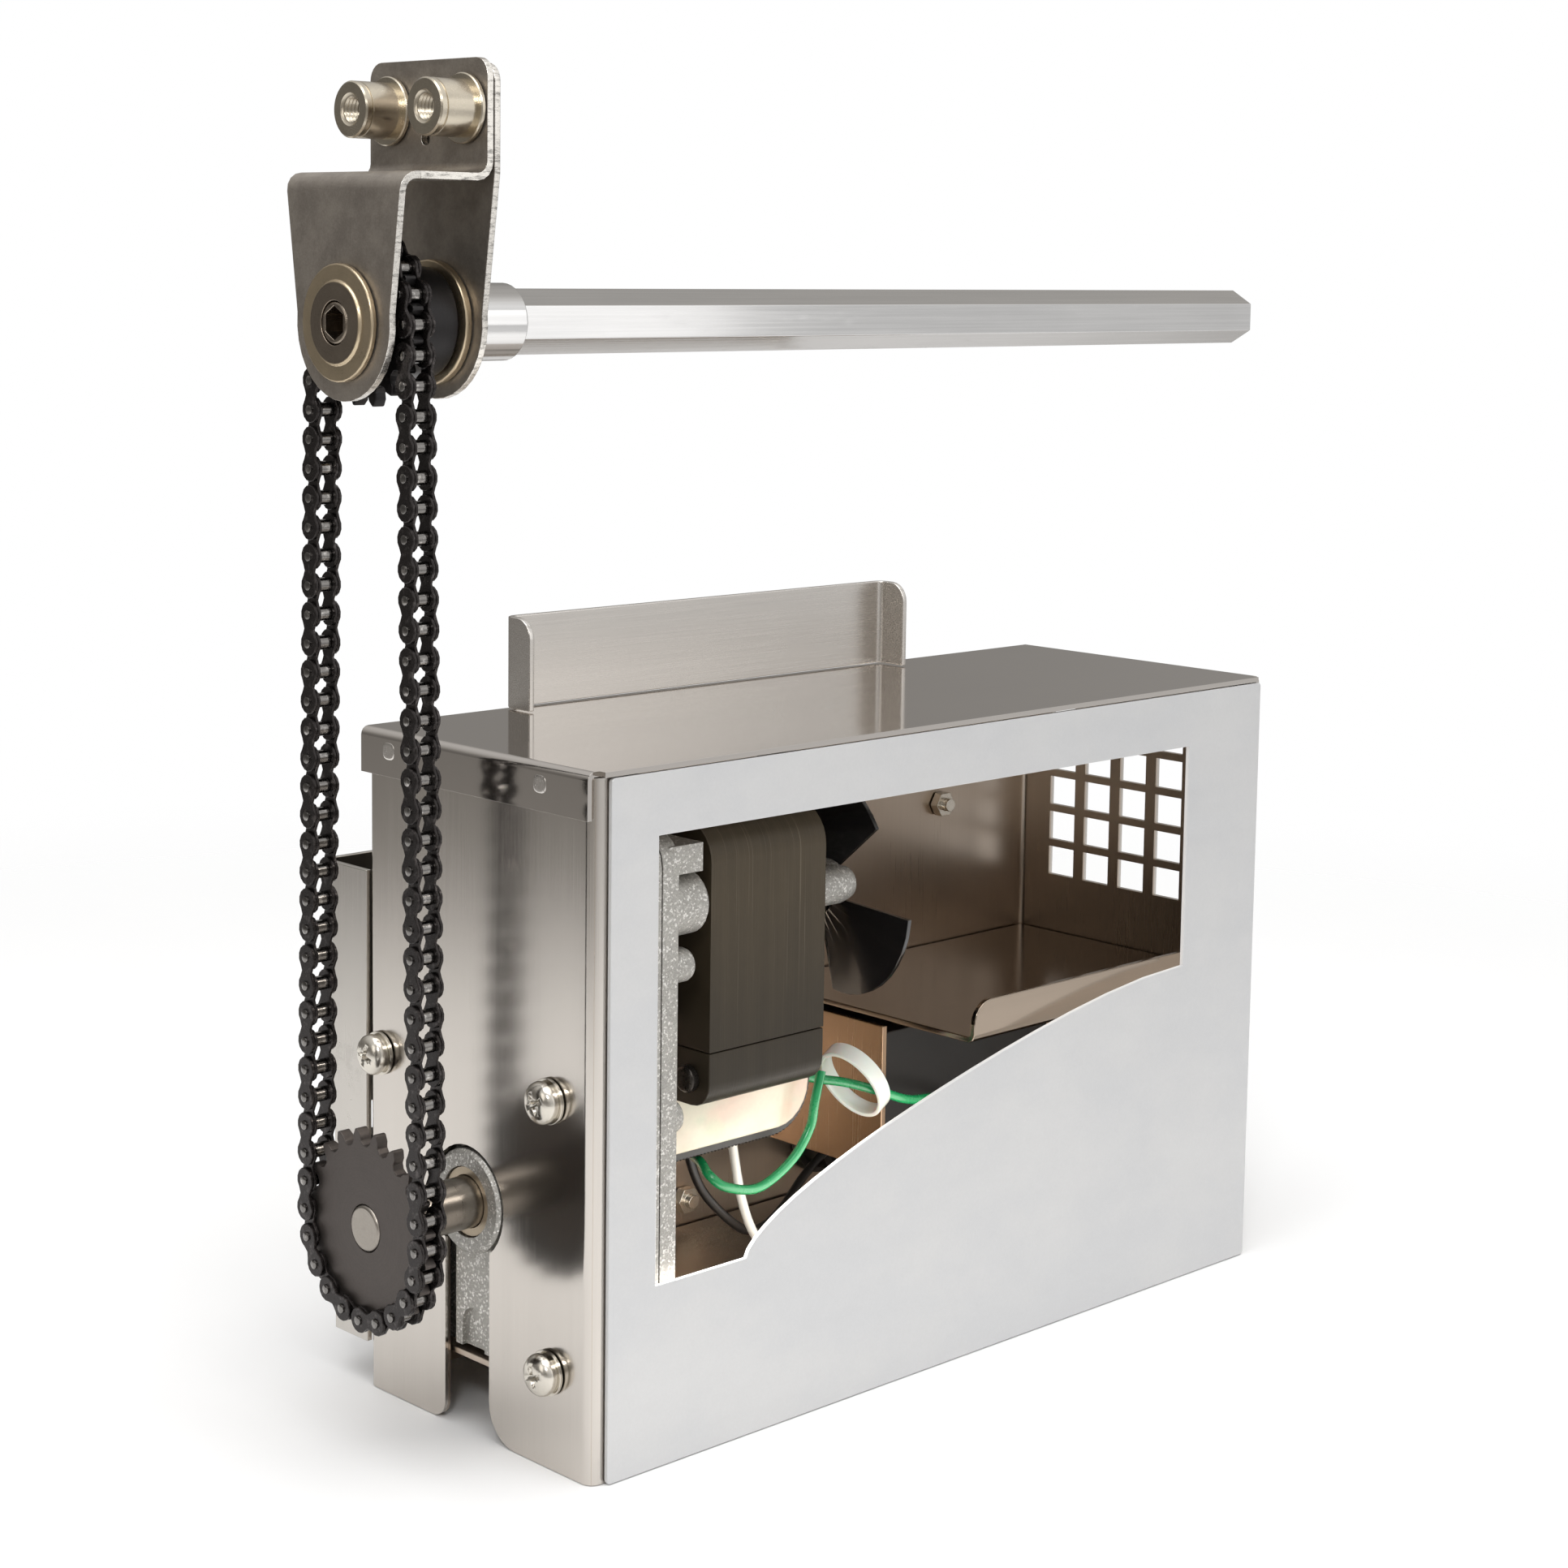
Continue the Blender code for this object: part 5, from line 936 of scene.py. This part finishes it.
def make_studio():
    """Soft room: white to the eye, greyer to the left and behind, bright in front and above."""
    world = bpy.data.worlds.new("studio_room")
    bpy.context.scene.world = world
    world.use_nodes = True
    room = Nodes(world.node_tree)
    x, y, z = room.parts(room.node("TexCoord")[0])
    front = (x * 0.62 - y * 0.78).step(-0.2, 0.8)
    above = z.step(0.05, 0.9)
    below = z.step(0.02, -0.35)
    behind = (y * 0.76 - x * 0.65).step(0.2, 0.95)
    level = 0.25 + front * 0.33 - behind * 0.07 + above * 0.55 + below * 0.15
    warm = room.blend(front.most(above), (0.98, 0.94, 0.89), (1.0, 1.0, 1.0))
    tone = room.shade(warm, level)
    eye = room.node("LightPath")[0]
    colour = room.blend(eye, tone, (1.0, 1.0, 1.0))
    room.feed(room.tree.nodes["Background"].inputs[0], colour)


def make_light(name, place, target, size, power, colour=(1, 1, 1), stretch=1.0):
    """A soft lamp, its size in metres and its power in watts, turned towards its target."""
    lamp = bpy.data.lights.new(name, "AREA")
    lamp.shape = "RECTANGLE"
    lamp.size = size
    lamp.size_y = size * stretch
    lamp.energy = power
    lamp.color = colour
    holder = bpy.data.objects.new(name, lamp)
    holder.location = place
    holder.rotation_euler = (Vector(target) - Vector(place)).to_track_quat("-Z", "Y").to_euler()
    bpy.context.scene.collection.objects.link(holder)
    return holder


def make_bay_light():
    """Two soft panels just inside the front cover, for the motor bay behind it."""
    warm = (1, 0.97, 0.93)
    bay = ("bay_panel", at(121, 2.4, 86), 0.205, 0.085, 0.62)
    foot = ("foot_panel", at(75, 2.6, 40), 0.11, 0.09, 0.45)
    for name, place, size, power, stretch in (bay, foot):
        panel = make_light(name, place, place + Vector((0, 1, 0)), size, power, warm, stretch)
        panel.rotation_euler = (math.radians(90), 0, math.radians(180))


def make_camera():
    """Looks from the left front, a little above the box."""
    lens = bpy.data.cameras.new("camera")
    lens.sensor_width = 36
    lens.lens = LENS
    lens.shift_x, lens.shift_y = LENS_SHIFT
    lens.clip_start = 0.01
    lens.clip_end = 50
    camera = bpy.data.objects.new("camera", lens)
    bpy.context.scene.collection.objects.link(camera)
    heading = Matrix.Rotation(math.radians(CAMERA_HEADING), 4, "Z")
    pitch = Matrix.Rotation(math.radians(90 + CAMERA_PITCH), 4, "X")
    roll = Matrix.Rotation(math.radians(CAMERA_ROLL), 4, "Z")
    camera.matrix_world = Matrix.Translation(CAMERA_PLACE_METRES) @ heading @ pitch @ roll
    bpy.context.scene.camera = camera


make_camera()
make_studio()
make_stage()
make_light("overhead_softbox", (-0.25, -0.25, 1.15), (0, 0, 0), 1.1, 10)
make_light("front_softbox", (0.55, -1.25, 0.35), (0, 0, -0.05), 0.9, 1.5)
make_light("sparkle_lamp", (-0.85, -0.75, 0.62), (-0.1, -0.05, 0.0), 0.16, 2.6)
make_light("left_softbox", (-1.35, -0.1, 0.45), (0, 0, 0.02), 0.5, 1.3, (1, 0.97, 0.93), 1.4)
make_bay_light()

for node in NODE_FINISHES:
    dressed(node)
make_chain()
make_screw("front_upper", math.radians(62))
make_screw("front_lower", math.radians(74))
make_screw("rear", math.radians(20))
make_standoff("front")
make_standoff("back")
make_wire("green_wire_loop", "green_insulation")
make_wire("green_wire_lead", "green_insulation")
make_wire("white_wire", "white_insulation")
make_wire("black_wire", "black_plastic")
make_cable_tie()
make_coil_band()
make_lip_welds()

bpy.context.scene.view_settings.view_transform = "Standard"
